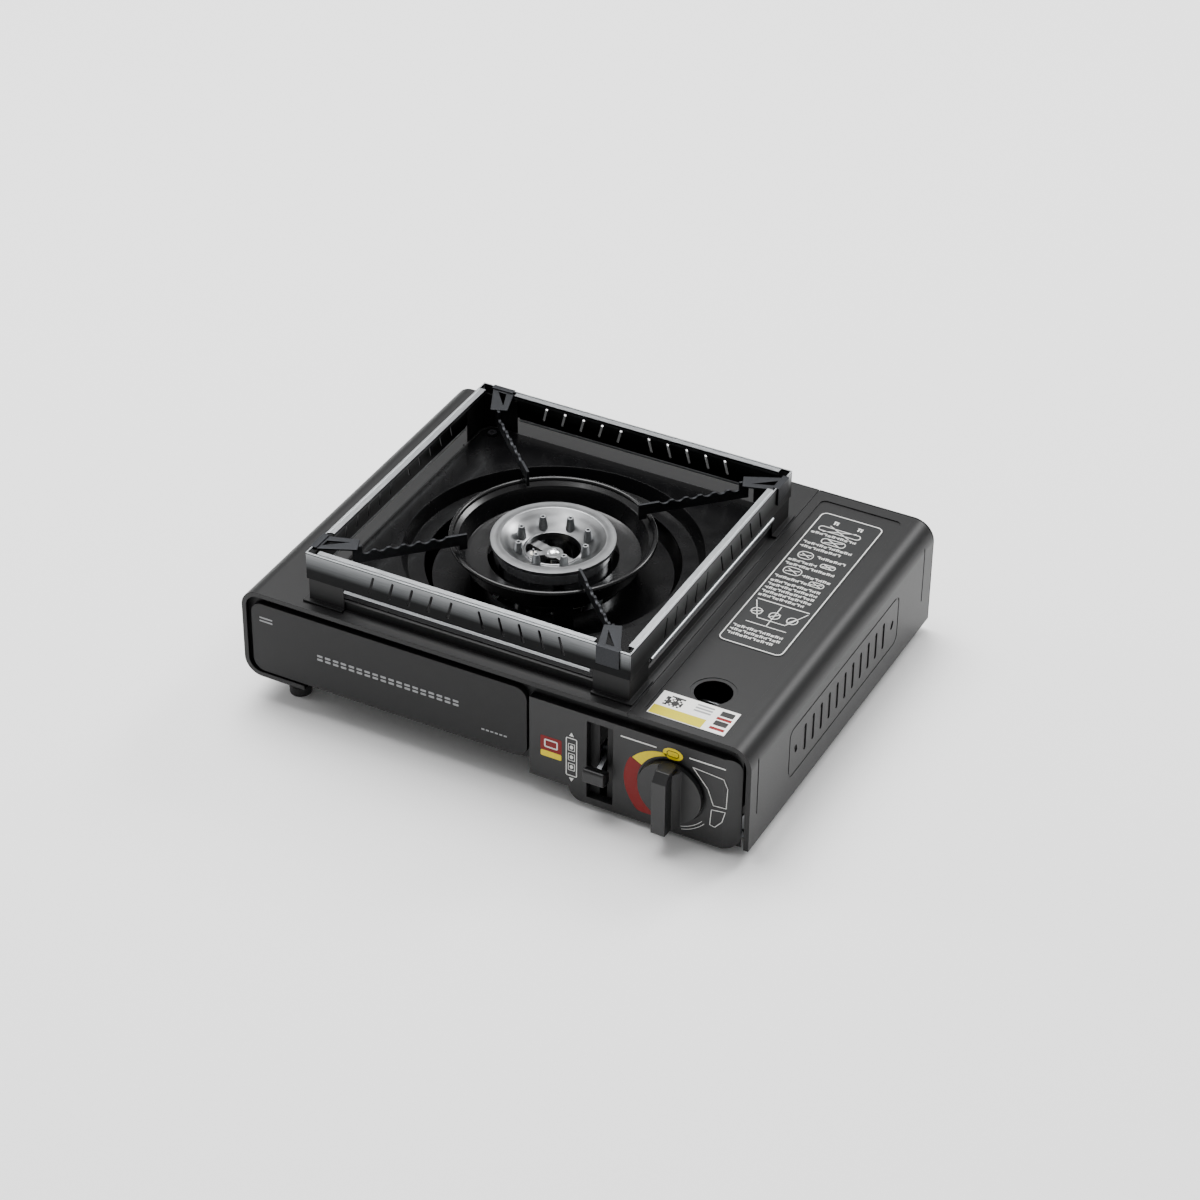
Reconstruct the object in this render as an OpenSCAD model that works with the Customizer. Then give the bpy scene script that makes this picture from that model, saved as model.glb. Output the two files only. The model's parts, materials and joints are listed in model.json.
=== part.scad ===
// Portable gas stove: a pressed steel casing with a cartridge bay under a hinged lid,
// a ring burner in an enamelled pan, and a lift-off pot support with wind shields.
// Millimetres. X runs along the front from left to right, Y to the back, Z up.
// The origin is on the ground, under the middle of the overall box.

/* [Overall] */
// Width over the casing, side to side
overall_w = 340; // [330:1:420]
// Depth from the knob's face to the rear panel
overall_d = 280; // [262:1:340]
// Height from the ground to the top of the wind shields
overall_h = 115; // [110:1:130]

/* [Casing] */
// Thickness of every steel sheet
sheet = 0.8; // [0.8:0.1:1.4]
// Height of the casing's top plate
top_z = 80; // [79:0.5:84]
// Height of the casing's underside on the burner side
shell_z = 18; // [14:0.5:20]
// Height of the cartridge bay's underside
bay_z = 5; // [4:0.5:6]
// Outside radius of the casing's long left edges
roll_r = 12; // [8:0.5:14]
// Width of the turned-in lip around the front
lip_w = 3.2; // [2:0.1:4]
// Depth of the front parts, from the lip to the front frame
front_depth = 5; // [4:0.1:7]
// Height of the raised platform under the pan
platform_h = 6; // [4:0.5:7]
// Radius of the feet
foot_r = 7; // [5:0.5:9]

/* [Cartridge bay and lid] */
// Width of the cartridge bay between its walls
bay_w = 68.4; // [68:0.2:74]
// Radius of the gas cartridge that the bay takes
cartridge_r = 33; // [30:0.5:33]
// Outside radius of the lid's rolled edge
lid_roll_r = 14; // [10:0.5:18]
// Height of the lid's hinge pins above the ground
hinge_z = 8; // [7.5:0.5:10]
// Distance of the hinge pins in from the lid's outer face
hinge_in = 4; // [3.6:0.1:5]
// Radius of the hinge pins
hinge_pin_r = 1.5; // [1:0.1:1.8]
// Depth of the sunken panel in the lid's top
lid_panel_dip = 0.8; // [0.4:0.1:1]
// Number of tall vent slots in the lid's side
vent_count = 11; // [5:2:11]
// Spacing of the vent slots
vent_pitch = 11.3; // [9:0.1:12]
// Height of a vent slot
vent_h = 19; // [10:1:24]
// Width of a vent slot
vent_w = 3; // [2:0.1:4]
// Height of the vent panel's lower edge
vent_z0 = 23.5; // [22:0.5:26]
// Height of the vent panel's upper edge
vent_z1 = 59; // [57:0.5:60]
// Half the length of the vent panel
vent_half = 79; // [77:0.5:84]
// Radius of the round window in the lid
window_r = 11.5; // [9:0.5:13]
// Width of the printed label
label_w = 43; // [36:1:44]
// Length of the printed label
label_l = 152; // [130:1:156]
// Width of the front sticker
sticker_w = 49; // [40:1:52]
// Length of the front sticker
sticker_l = 23; // [16:1:24]
// Thickness of the label and the sticker
label_t = 0.3; // [0.2:0.05:0.5]

/* [Pot support] */
// Outside width of the square pot support
support_side = 216; // [206:1:218]
// Height of a wind shield wall, from its lower edge to its top
wall_h = 18.5; // [16:0.5:20]
// Depth of the skirt below the middle of each wall
skirt_h = 2.5; // [1:0.5:3]
// Width of the folded rim along each wall's top
rim_w = 4.2; // [3:0.1:6]
// Length of a corner bracket's leg
corner_leg = 24; // [16:1:28]
// Number of slits in each half of a wall
slit_count = 5; // [3:1:5]
// Spacing of the slits
slit_pitch = 13.2; // [11:0.1:14]
// Length of a slit
slit_len = 13; // [8:0.5:13]
// Width of a slit
slit_w = 1.6; // [1.2:0.1:2]
// Lean of the slits from upright, in degrees
slit_lean = 14; // [0:1:20]
// Distance of a pot arm's inner end from the burner's axis
arm_in = 54; // [50:1:60]
// Thickness of a pot arm
arm_t = 1.8; // [1.4:0.1:2.4]
// Height of a pot arm's blade
arm_h = 7.5; // [6:0.5:9]

/* [Pan and burner] */
// Width of the pan's flat border at the middle of a side, outside its round recess
recess_edge = 11.1; // [10:0.1:15]
// Depth of the recess below the pan's rim
recess_h = 17; // [14:0.5:18]
// Outside radius of the burner dish's rim
dish_r = 63.5; // [60:0.5:68]
// Height of the dish's rim above the ground
dish_z = 99; // [97:0.5:100]
// Depth of the dish
dish_h = 16; // [12:0.5:17]
// Outside radius of the burner ring
ring_r = 38.5; // [36:0.5:40]
// Height of the burner ring's face above the ground
ring_z = 96; // [95:0.5:97]
// Radius of the opening in the middle of the ring
eye_r = 16.8; // [14:0.2:18]
// Number of gas nozzles on the ring
nozzle_count = 8; // [4:1:10]

/* [Gas parts] */
// Height of the burner cup's floor
cup_z = 58; // [56:0.5:60]
// Height of the mixing tube's axis
tube_z = 42; // [40:0.5:44]
// Outside radius of the mixing tube
tube_r = 8; // [7:0.5:9]
// Outside radius of the gas pipe
pipe_r = 2.2; // [1.5:0.1:2.5]
// Outside radius of the igniter's wire
wire_r = 1.2; // [0.8:0.1:1.5]
// Radius of the regulator's round body
regulator_r = 17; // [15:0.5:18]
// Radius of the cartridge socket's flange
socket_r = 17; // [14:0.5:17]

/* [Knob and lever] */
// Distance of the knob's axis in from the casing's right side
knob_in = 49.5; // [48:0.5:52]
// Distance of the lever in from the wall of the cartridge bay
lever_in = 12.7; // [12:0.1:14]
// Radius of the knob's disc
knob_r = 20.5; // [18:0.5:22]
// Thickness of the knob's disc
knob_disc_t = 4; // [3:0.5:5]
// Distance of the knob's face in front of the panel
knob_out = 18; // [14:0.5:28]
// Width of the knob's grip bar
grip_w = 9; // [7:0.5:12]
// Radius of the valve shaft
shaft_r = 4; // [3:0.1:5]
// Radius of the lever's pivot pin
pivot_r = 2; // [1.5:0.1:2.5]
// Distance from the lever's pivot to its drive pin
drive_r = 12; // [10:0.5:13]
// Width of the lever's finger grip
lever_w = 14; // [10:0.5:15]

/* [Fits] */
// Radial clearance of a shaft that turns in a hole
run_fit = 0.06; // [0.02:0.01:0.1]
// Gap between parts that pass each other
gap = 0.5; // [0.3:0.1:0.8]

/* [Hidden] */
$fn = 96;

// Casing: outside faces and the seams between its parts.
side_x = overall_w / 2;
back_y = overall_d / 2;
front_y = knob_out - overall_d / 2;
mid_y = (front_y + back_y) / 2;
frame_y = front_y + front_depth;
shell_back = back_y - sheet;

// Cartridge bay, set out from the right-hand side inwards.
bay_wall_in = 13.8;
bay_right = side_x - bay_wall_in - sheet;
bay_left = bay_right - bay_w;
bay_x = (bay_left + bay_right) / 2;
bay_floor = bay_z + sheet;
cartridge_x = bay_x;
cartridge_z = bay_floor + 2.5 + cartridge_r;
partition_x = bay_left - sheet;
seam_x = partition_x + 5;
lid_gap = 0.4;
hinge_x = side_x - hinge_in;
lid_bottom = hinge_z;

// Pot support and burner share one axis.
support_half = support_side / 2;
burner_x = seam_x - lid_gap - 2.2 - support_half;
burner_y = front_y + 8 + support_half;
platform_half = support_half - 2 * sheet - 0.8;
platform_z = top_z + platform_h;
pan_half = platform_half - 2;
recess_r = pan_half - recess_edge;
pan_z = platform_z + sheet;
wall_z = overall_h - wall_h;
skirt_z = wall_z - skirt_h;

// Front: the name plate on the left and the control panel on the right.
lever_x = partition_x - lever_in;
plate_x0 = -side_x + 6;
panel_x0 = lever_x - 46.5;
plate_x1 = panel_x0 - 2;
plate_z0 = shell_z + 4;
plate_z1 = top_z - 8;
panel_x1 = side_x - 7;
panel_z0 = bay_z - 1;
panel_z1 = top_z - 11;
panel_step_x = panel_x0 + 26;
panel_step_z = 12.5;
knob_x = side_x - knob_in;
knob_z = 35;
slot_half = 8.5;
slot_z0 = 9;
slot_z1 = top_z - 15.5;

// Lever: pivot behind the panel, drive pin above it.
arm_half = 1.5;
lever_turn = 45;
lever_y = frame_y + 13;
lever_z = 35;
grip_y = front_y - 1;
grip_z = 31;
drive_z = lever_z + drive_r;
link_x = lever_x + 7;
link_t = 1.6;
link_half = 5;
bracket_in = 3.4;
slot_drop = drive_r * (1 - cos(lever_turn));
link_travel = drive_r * sin(lever_turn);
link_z = drive_z - slot_drop / 2;
pusher_y = shell_back - 15;

// Valve: regulator behind the knob, socket facing the cartridge.
regulator_y = frame_y + 13;
regulator_d = 30;
socket_y = regulator_y + regulator_d;
cap_y = regulator_y + regulator_d / 2 + 2;

// Burner: the feed into the cup, the nozzles on the cone and the electrode.
feed_at = 25;
feed_r = 5.5;
cone_in = eye_r + 1.6;
cone_out = ring_r - 6.3;
cone_h = 9;
nozzle_at = 22;
nozzle_z = ring_z - cone_h + cone_h * (nozzle_at - cone_in) / (cone_out - cone_in);
bridge_z = ring_z - 13;
bridge_t = 1.6;
spark_at = [-10, -7];

// Mixing tube, gas pipe, igniter and its wire.
tube_y = burner_y;
tube_end = partition_x - 22;
pipe_x = partition_x - 12;
pipe_y = regulator_y + 10;
pipe_z = 32;
ignite_x = knob_x - 21;
ignite_y = frame_y + sheet + 2;
ignite_z = knob_z + 20;
wire_x = partition_x - 3.5;
wire_y = ignite_y + 34;

// Lid hinges, and the places of the window, the label and the sticker.
hinge_ys = [front_y + 12, back_y - 22];
lid_dip_z = top_z - lid_panel_dip;
window_x = bay_x + 4;
window_y = front_y + 42;

// Clip of a pot arm over its wall.
clip_x = support_half - 22;
clip_w = 15;
clip_t = 1.2;

// A rectangle with rounded corners, lower left corner at the origin.
module round_box(w, h, r) {
    translate([r, 0]) square([w - 2 * r, h]);
    translate([0, r]) square([w, h - 2 * r]);
    for (x = [r, w - r])
        for (y = [r, h - r])
            translate([x, y]) circle(r);
}

// An upright slot with round ends, centred on the origin.
module slot(w, h) {
    translate([-w / 2, w / 2 - h / 2]) square([w, h - w]);
    for (y = [w / 2 - h / 2, h / 2 - w / 2]) translate([0, y]) circle(w / 2);
}

// Turns a flat X-Z outline into a plate that runs in Y from y0 to y1.
module plate_y(y0, y1) {
    translate([0, y1, 0]) rotate([90, 0, 0]) linear_extrude(y1 - y0) children();
}

// Turns a flat Y-Z outline into a plate that runs in X from x0 to x1.
module plate_x(x0, x1) {
    translate([x0, 0, 0]) rotate([90, 0, 90]) linear_extrude(x1 - x0) children();
}

// A plate that runs in Z from z0 to z1.
module plate_z(z0, z1) {
    translate([0, 0, z0]) linear_extrude(z1 - z0) children();
}

// A plain block between two corners.
module block(low, high) {
    translate(low) cube(high - low);
}

// A cylinder along Y.
module rod_y(x, z, y0, y1, r) {
    translate([x, y1, z]) rotate([90, 0, 0]) cylinder(r = r, h = y1 - y0);
}

// A cylinder along X.
module rod_x(y, z, x0, x1, r) {
    translate([x0, y, z]) rotate([0, 90, 0]) cylinder(r = r, h = x1 - x0);
}

// The casing's section on the burner side, drawn inset by i.
module shell_outline(i) {
    r = roll_r - i;
    x0 = -side_x + i;
    z0 = shell_z + i;
    z1 = top_z - i;
    translate([x0 + r, z0]) square([seam_x - x0 - r, z1 - z0]);
    translate([x0, z0 + r]) square([roll_r, z1 - z0 - 2 * r]);
    for (z = [z0 + r, z1 - r]) translate([x0 + r, z]) circle(r);
}

// The lid's section, drawn inset by i.
module lid_outline(i) {
    r = lid_roll_r - i;
    x0 = seam_x + lid_gap;
    x1 = side_x - i;
    z1 = top_z - i;
    translate([x0, lid_bottom]) square([x1 - r - x0, z1 - lid_bottom]);
    translate([x0, lid_bottom]) square([x1 - x0, z1 - r - lid_bottom]);
    translate([x1 - r, z1 - r]) circle(r);
}

// Bottom sheet: flat under the burner, stepping down to the cartridge bay.
module base_tray() {
    x0 = -side_x + roll_r;
    z0 = shell_z + sheet;
    step_x = partition_x - 26;
    y0 = frame_y + sheet;
    y1 = shell_back;
    color("#2b2c2e") difference() {
        union() {
            block([x0, y0, z0], [step_x + sheet, y1, z0 + sheet]);
            block([step_x, y0, bay_z], [step_x + sheet, y1, z0 + sheet]);
            block([step_x, y0, bay_z], [bay_right + sheet, y1, bay_floor]);
            block([bay_right, y0, bay_z], [bay_right + sheet, y1, bay_z + 16]);
        }
        // Air holes under the burner.
        for (i = [-3:3])
            translate([burner_x + 18 * i, burner_y, 0])
                plate_z(0, top_z) slot(5, 80);
        // Drain holes in the bay floor.
        for (i = [0:4])
            translate([bay_x, mid_y - 70 + 35 * i, 0]) cylinder(r = 3, h = top_z);
    }
}

// Top plate, left side and turned-under edge in one pressing.
module top_shell() {
    color("#3a3b3d") difference() {
        union() {
            plate_y(front_y, shell_back) difference() {
                shell_outline(0);
                shell_outline(sheet);
                translate([-side_x + 42, 0]) square([side_x * 2, shell_z + 2 * sheet]);
            }
            // Turned-in lip around the front.
            plate_y(front_y, front_y + sheet) difference() {
                shell_outline(0);
                shell_outline(lip_w);
                translate([-side_x + 42, 0]) square([side_x * 2, shell_z + 2 * lip_w]);
            }
            // Raised platform that the pan sits on.
            translate([burner_x - platform_half, burner_y - platform_half, 0])
                plate_z(top_z - sheet, platform_z)
                    round_box(2 * platform_half, 2 * platform_half, 8);
        }
        translate([burner_x - platform_half + sheet, burner_y - platform_half + sheet, 0])
            plate_z(shell_z + 2 * sheet, platform_z - sheet)
                round_box(2 * (platform_half - sheet), 2 * (platform_half - sheet), 8 - sheet);
        translate([burner_x, burner_y, top_z])
            cylinder(r = recess_r + sheet + 1.5, h = 2 * platform_h);
    }
}

// Rear wall with a row of slots that lets the bay breathe.
module rear_panel() {
    color("#333436") difference() {
        plate_y(shell_back, back_y) {
            shell_outline(0);
            lid_outline(0);
            translate([partition_x - 26, bay_z])
                square([bay_right + sheet - partition_x + 26, top_z - 30]);
            translate([partition_x - 26, shell_z])
                square([side_x - partition_x - 26, top_z - shell_z - 2]);
        }
        for (i = [-4:4])
            translate([burner_x + 14 * i, 0, 0])
                plate_y(shell_back - 1, back_y + 1)
                    translate([0, 51]) slot(3, 22);
        for (i = [-2:2])
            translate([bay_x + 10 * i, 0, 0])
                plate_y(shell_back - 1, back_y + 1)
                    translate([0, 41]) slot(3, 22);
    }
}

// Pressed wall behind the name plate and the control panel.
module front_frame() {
    step_x = partition_x - 25;
    z1 = top_z - sheet - lid_panel_dip - gap;
    color("#1d1e20") difference() {
        plate_y(frame_y, frame_y + sheet) {
            intersection() {
                shell_outline(sheet + 0.1);
                translate([-side_x, shell_z + 2 * sheet]) square([side_x * 2, z1 - shell_z - 2 * sheet]);
            }
            translate([step_x, bay_z]) square([panel_x1 - 6 - step_x, z1 - bay_z]);
            translate([step_x, bay_z]) square([panel_x1 - step_x, top_z - 9 - bay_z]);
        }
        block([lever_x - arm_half - 0.9, frame_y - 1, slot_z0],
              [lever_x + arm_half + 0.9, frame_y + 3, slot_z1]);
        rod_y(knob_x, knob_z, frame_y - 1, frame_y + 3, 12);
    }
}

// Shallow pressed plate on the left of the front.
module front_plate() {
    w = plate_x1 - plate_x0;
    h = plate_z1 - plate_z0;
    y0 = front_y + 0.8;
    color("#38393b") translate([plate_x0, 0, plate_z0]) difference() {
        plate_y(y0, frame_y) round_box(w, h, 8);
        plate_y(y0 + sheet, frame_y + 1)
            translate([sheet, sheet]) round_box(w - 2 * sheet, h - 2 * sheet, 8 - sheet);
    }
}

// The control panel's front outline, inset by i.
module panel_outline(i) {
    r = 9 - i;
    x1 = panel_x1 - i;
    z1 = panel_z1 - i;
    translate([panel_x0 + i, panel_step_z + i])
        square([panel_step_x - panel_x0 - i + 4, z1 - panel_step_z - i]);
    translate([panel_step_x + i + r, panel_z0 + i])
        square([x1 - panel_step_x - i - 2 * r, z1 - panel_z0 - i]);
    translate([panel_step_x + i, panel_z0 + i + r])
        square([x1 - panel_step_x - i, z1 - panel_z0 - i - 2 * r]);
    translate([panel_step_x + i, z1 - 2 * r]) square([2 * r, 2 * r]);
    translate([panel_step_x + i + r, panel_z0 + i + r]) circle(r);
    for (z = [panel_z0 + i + r, z1 - r]) translate([x1 - r, z]) circle(r);
}

// Moulded panel with the lever's slot, the knob's hole and a slanted right end.
module control_panel() {
    wall = 2.4;
    color("#2f3032") difference() {
        intersection() {
            plate_y(front_y, frame_y) panel_outline(0);
            plate_z(0, top_z) polygon([
                [panel_x0, front_y], [panel_x1 - 10, front_y],
                [panel_x1, front_y + 4.6], [panel_x1, frame_y], [panel_x0, frame_y]
            ]);
        }
        difference() {
            plate_y(front_y + wall, frame_y + 1) intersection() {
                panel_outline(wall);
                translate([0, 0]) square([panel_x1 - 13, top_z]);
            }
            rod_y(knob_x, knob_z, front_y, frame_y, 12);
            plate_y(front_y, frame_y)
                translate([lever_x - slot_half - wall, slot_z0 - wall])
                    square([2 * (slot_half + wall), slot_z1 - slot_z0 + 2 * wall]);
        }
        block([lever_x - slot_half, front_y - 1, slot_z0],
              [lever_x + slot_half, frame_y + 1, slot_z1]);
        rod_y(knob_x, knob_z, front_y - 1, frame_y + 1, shaft_r + 2);
        // Seat that the knob's disc turns in.
        rod_y(knob_x, knob_z, front_y - 1, front_y + 0.8, knob_r + 1);
    }
}

// Upright wall between the burner and the bay, with a ledge for the lid's edge.
module bay_partition() {
    y0 = frame_y + sheet;
    ledge_z = top_z - sheet - gap;
    color("#8d9092") difference() {
        union() {
            block([partition_x, y0, bay_floor], [bay_left, shell_back, ledge_z]);
            block([partition_x, y0, ledge_z - sheet], [seam_x + 2, shell_back, ledge_z]);
            block([partition_x - 8, y0, bay_floor],
                  [partition_x, shell_back, bay_floor + sheet]);
        }
        // Ways through for the gas pipe, the igniter's wire and the link bar.
        rod_x(pipe_y, pipe_z, partition_x - 1, bay_left + 1, pipe_r + 2);
        rod_x(wire_y, ignite_z, partition_x - 1, bay_left + 1, wire_r + 2);
        block([partition_x - 1, pusher_y - gap, link_z - link_half - gap],
              [bay_left + 1, pusher_y + link_t + link_travel + gap, link_z + link_half + gap]);
    }
}

// A pan-head screw standing on z, head upwards.
module screw(z, r, h) {
    translate([0, 0, z]) difference() {
        cylinder(r = r, h = h);
        for (a = [0, 90])
            rotate([0, 0, a]) translate([-r * 0.6, -0.3, h / 2]) cube([r * 1.2, 0.6, h]);
    }
}

// Screws that hold the shell and the pan's platform to the casing.
module casing_screws() {
    color("#b5b8ba") {
        for (x = [-1, 1])
            for (y = [-1, 1])
                translate([burner_x + x * (pan_half - 8), burner_y + y * (pan_half - 8), 0])
                    screw(pan_z, 3, 1.6);
        for (y = [mid_y - 60, mid_y + 60])
            translate([-side_x + 34, y, 0])
                mirror([0, 0, 1]) screw(-shell_z, 3, 1.6);
    }
}

// Two tall feet under the burner side, two low ones under the bay.
module feet() {
    color("#18181a") {
        for (y = [front_y + 19, back_y - 20])
            translate([-side_x + 27, y, 0]) {
                cylinder(r = foot_r, h = 6);
                translate([0, 0, 6]) cylinder(r = foot_r - 1.5, h = shell_z - 6);
            }
        for (y = [front_y + 19, back_y - 20])
            translate([bay_right - 9, y, 0]) cylinder(r = foot_r, h = bay_z);
    }
}

// Enamelled square pan with a stepped round recess.
module drip_pan() {
    r = recess_r;
    floor_z = pan_z - recess_h;
    step_z = pan_z - recess_h / 2;
    hole = ring_r + 6;
    color("#101113") translate([burner_x, burner_y, 0]) difference() {
        union() {
            translate([-pan_half, -pan_half, 0])
                plate_z(pan_z - sheet, pan_z) round_box(2 * pan_half, 2 * pan_half, 10);
            rotate_extrude() polygon([
                [0, pan_z - sheet / 2], [r + sheet, pan_z - sheet / 2],
                [r + sheet, pan_z - 1.5 * sheet], [r - 3, step_z - sheet],
                [r - 15, step_z - sheet], [r - 19, floor_z - sheet], [0, floor_z - sheet]
            ]);
        }
        rotate_extrude() polygon([
            [0, floor_z], [r - 18, floor_z], [r - 14, step_z], [r - 4, step_z],
            [r - 0.6, pan_z - 0.6], [r, pan_z + 0.4], [0, pan_z + 0.4]
        ]);
        translate([0, 0, floor_z - 3 * sheet]) cylinder(r = hole, h = 5 * sheet);
    }
}

// Separate bowl around the burner with a rolled rim.
module burner_dish() {
    bead = 1.6;
    low = ring_r + 1.5;
    floor_z = dish_z - dish_h;
    color("#17181a") translate([burner_x, burner_y, 0]) {
        rotate_extrude() polygon([
            [low, floor_z], [dish_r - 13, floor_z], [dish_r - 10, floor_z + 1],
            [dish_r - 6, dish_z - 4], [dish_r - 3, dish_z - bead],
            [dish_r - bead, dish_z - bead - 0.4], [dish_r - 5, dish_z - 5],
            [dish_r - 9, floor_z - 0.4], [dish_r - 13, floor_z - sheet],
            [low, floor_z - sheet]
        ]);
        rotate_extrude() translate([dish_r - bead, dish_z - bead]) circle(bead);
    }
}

// Four upright brackets between the pan and the dish.
module dish_brackets() {
    z0 = pan_z - recess_h;
    z1 = dish_z - dish_h - sheet;
    r1 = ring_r + 12;
    color("#141416") translate([burner_x, burner_y, 0])
        for (a = [0:90:270]) rotate([0, 0, a + 35]) {
            block([r1, -6, z0], [r1 + sheet, 6, z1]);
            block([r1 - 5, -6, z1 - sheet], [r1, 6, z1]);
            block([r1 - 5, -6, z0], [r1, 6, z0 + sheet]);
        }
}

// Polished ring-shaped cup under the burner ring, open in the middle.
module burner_cup() {
    wall = 1.5;
    inner = cone_in;
    bend_z = cup_z + 9;
    color("#b9bcbe") translate([burner_x, burner_y, 0]) difference() {
        rotate_extrude() polygon([
            [inner, cup_z], [ring_r - 6.5, cup_z], [ring_r - 3, bend_z],
            [ring_r - 1.5, ring_z - 2.4], [ring_r - 3.2, ring_z - 2.4],
            [ring_r - 4.7, bend_z], [ring_r - 7, cup_z + wall], [inner + wall, cup_z + wall],
            [inner + wall, ring_z - 12.5], [inner, ring_z - 12.5]
        ]);
        translate([feed_at, 0, cup_z - 1]) cylinder(r = feed_r, h = 4);
    }
}

// Aluminium ring: a flat rim and a conical bowl down to the eye.
module burner_ring() {
    rim_r = cone_out;
    eye_z = ring_z - cone_h;
    color("#d0d2d3") translate([burner_x, burner_y, 0]) rotate_extrude() polygon([
        [rim_r, ring_z], [ring_r, ring_z], [ring_r, ring_z - 2.4], [rim_r, ring_z - 2.4],
        [eye_r + 1.5, eye_z - 2.4], [eye_r + 1.5, eye_z - 4], [eye_r, eye_z - 4],
        [eye_r, eye_z + 0.8], [eye_r + 1, eye_z + 0.8], [cone_in, eye_z]
    ]);
}

// Hollow tapered pegs that stand on the ring's cone.
module burner_nozzles() {
    color("#a4a7a9") translate([burner_x, burner_y, 0])
        for (i = [0:nozzle_count - 1])
            rotate([0, 0, i * 360 / nozzle_count])
                translate([nozzle_at, 0, nozzle_z]) rotate_extrude() polygon([
                    [0.9, -1.2], [3, -1.2], [2.6, 3], [1.9, 7.6], [0.9, 7.6]
                ]);
}

// Bar across the eye that carries the middle screw and holds the electrode.
module burner_bridge() {
    z = bridge_z;
    t = bridge_t;
    color("#c4c6c8") translate([burner_x, burner_y, 0]) difference() {
        union() {
            rotate([0, 0, -16]) block([0.3 - eye_r, -3.2, z], [eye_r - 0.3, 3.2, z + t]);
            translate([0, 0, z]) cylinder(r = 6, h = t);
            translate([spark_at[0], spark_at[1], z]) cylinder(r = 4, h = t);
            translate([0, 0, z]) rotate([0, 0, atan2(spark_at[1], spark_at[0])])
                translate([0, -2, 0]) cube([norm(spark_at), 4, t]);
        }
        translate([0, 0, z - 1]) cylinder(r = 2, h = 4);
        translate([spark_at[0], spark_at[1], z - 1]) cylinder(r = 2.2, h = 4);
    }
}

// Domed screw in the middle of the bridge.
module burner_screw() {
    z = bridge_z + bridge_t;
    color("#e2e3e4") translate([burner_x, burner_y, 0]) {
        translate([0, 0, z - 9.6]) cylinder(r = 2 - run_fit, h = 9.7);
        intersection() {
            translate([0, 0, z - 3.4]) sphere(5.5);
            translate([0, 0, z]) cylinder(r = 5, h = 6);
        }
    }
}

// Cast tube that mixes gas and air and feeds the cup from below.
module mixing_tube() {
    x0 = burner_x + feed_at;
    bore = tube_r - 2;
    color("#8f9294") difference() {
        union() {
            rod_x(tube_y, tube_z, x0, tube_end, tube_r);
            rod_x(tube_y, tube_z, tube_end - 16, tube_end, tube_r + 3);
            translate([x0, tube_y, tube_z - tube_r]) cylinder(r = tube_r, h = cup_z - tube_z + tube_r);
        }
        rod_x(tube_y, tube_z, x0, tube_end - 2, bore);
        rod_x(tube_y, tube_z, tube_end - 3, tube_end + 1, 3);
        translate([x0, tube_y, tube_z - bore]) cylinder(r = feed_r, h = cup_z);
        // Air ports on both sides of the jet.
        for (y = [-15, 7])
            block([tube_end - 13, tube_y + y, tube_z - 3], [tube_end - 5, tube_y + y + 8, tube_z + 3]);
    }
}

// Brass jet in the mouth of the mixing tube.
module gas_jet() {
    color("#c9a653") difference() {
        union() {
            rod_x(tube_y, tube_z, tube_end - 6, tube_end + 5, 3);
            translate([tube_end, tube_y, tube_z]) rotate([0, 90, 0])
                cylinder(r = 5.5, h = 5, $fn = 6);
        }
        rod_x(tube_y, tube_z, tube_end - 7, tube_end + 6, 0.8);
    }
}

// Pipe from the regulator, through the partition, to the jet.
module gas_pipe() {
    color("#b87547") {
        rod_x(pipe_y, pipe_z, pipe_x, knob_x - regulator_r, pipe_r);
        translate([pipe_x, pipe_y, pipe_z]) sphere(pipe_r);
        rod_y(pipe_x, pipe_z, pipe_y, tube_y, pipe_r);
        translate([pipe_x, tube_y, pipe_z]) sphere(pipe_r);
        translate([pipe_x, tube_y, pipe_z]) cylinder(r = pipe_r, h = tube_z - pipe_z);
        translate([pipe_x, tube_y, tube_z]) sphere(pipe_r);
        rod_x(tube_y, tube_z, tube_end + 5, pipe_x, pipe_r);
    }
}

// Cast block behind the knob that sets the gas flow.
module regulator_body() {
    y0 = regulator_y;
    y1 = socket_y;
    color("#9a9da0") difference() {
        union() {
            rod_y(knob_x, knob_z, y0, y1, regulator_r);
            block([knob_x - regulator_r, y0 + 4, knob_z - 6],
                  [knob_x + regulator_r, y1, knob_z + 14]);
            block([knob_x - 20, y0, bay_floor], [knob_x + 20, y0 + 4, knob_z]);
        }
        rod_y(knob_x, knob_z, y0 - 1, y0 + 12, shaft_r + run_fit);
        rod_y(cartridge_x, cartridge_z, y1 - 6, y1 + 1, 6);
    }
}

// Round cap over the regulator's diaphragm.
module regulator_cap() {
    x1 = knob_x + regulator_r;
    color("#adb0b2") difference() {
        union() {
            rod_x(cap_y, knob_z + 4, x1, x1 + 2, 9.5);
            rod_x(cap_y, knob_z + 4, x1 + 2, x1 + 6, 7);
        }
        rod_x(cap_y, knob_z + 4, x1 + 5, x1 + 7, 2.5);
    }
}

// Four small screws around the cap.
module regulator_screws() {
    x1 = knob_x + regulator_r + 2;
    color("#c9cbcd") translate([x1, cap_y, knob_z + 4])
        for (a = [45:90:315])
            rotate([a, 0, 0]) translate([0, 0, 8.2]) rotate([0, 90, 0])
                cylinder(r = 1.1, h = 1.2);
}

// Collar that the cartridge's valve pushes into.
module cartridge_socket() {
    color("#b9bbbd") difference() {
        union() {
            rod_y(cartridge_x, cartridge_z, socket_y, socket_y + 2, socket_r);
            rod_y(cartridge_x, cartridge_z, socket_y, socket_y + 6, 10);
        }
        rod_y(cartridge_x, cartridge_z, socket_y - 1, socket_y + 7, 7.5);
    }
}

// Rubber ring that seals on the cartridge's valve.
module socket_seal() {
    color("#26211f") translate([cartridge_x, socket_y + 3, cartridge_z]) rotate([90, 0, 0])
        rotate_extrude() translate([5.9, 0]) circle(1.55);
}

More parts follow.
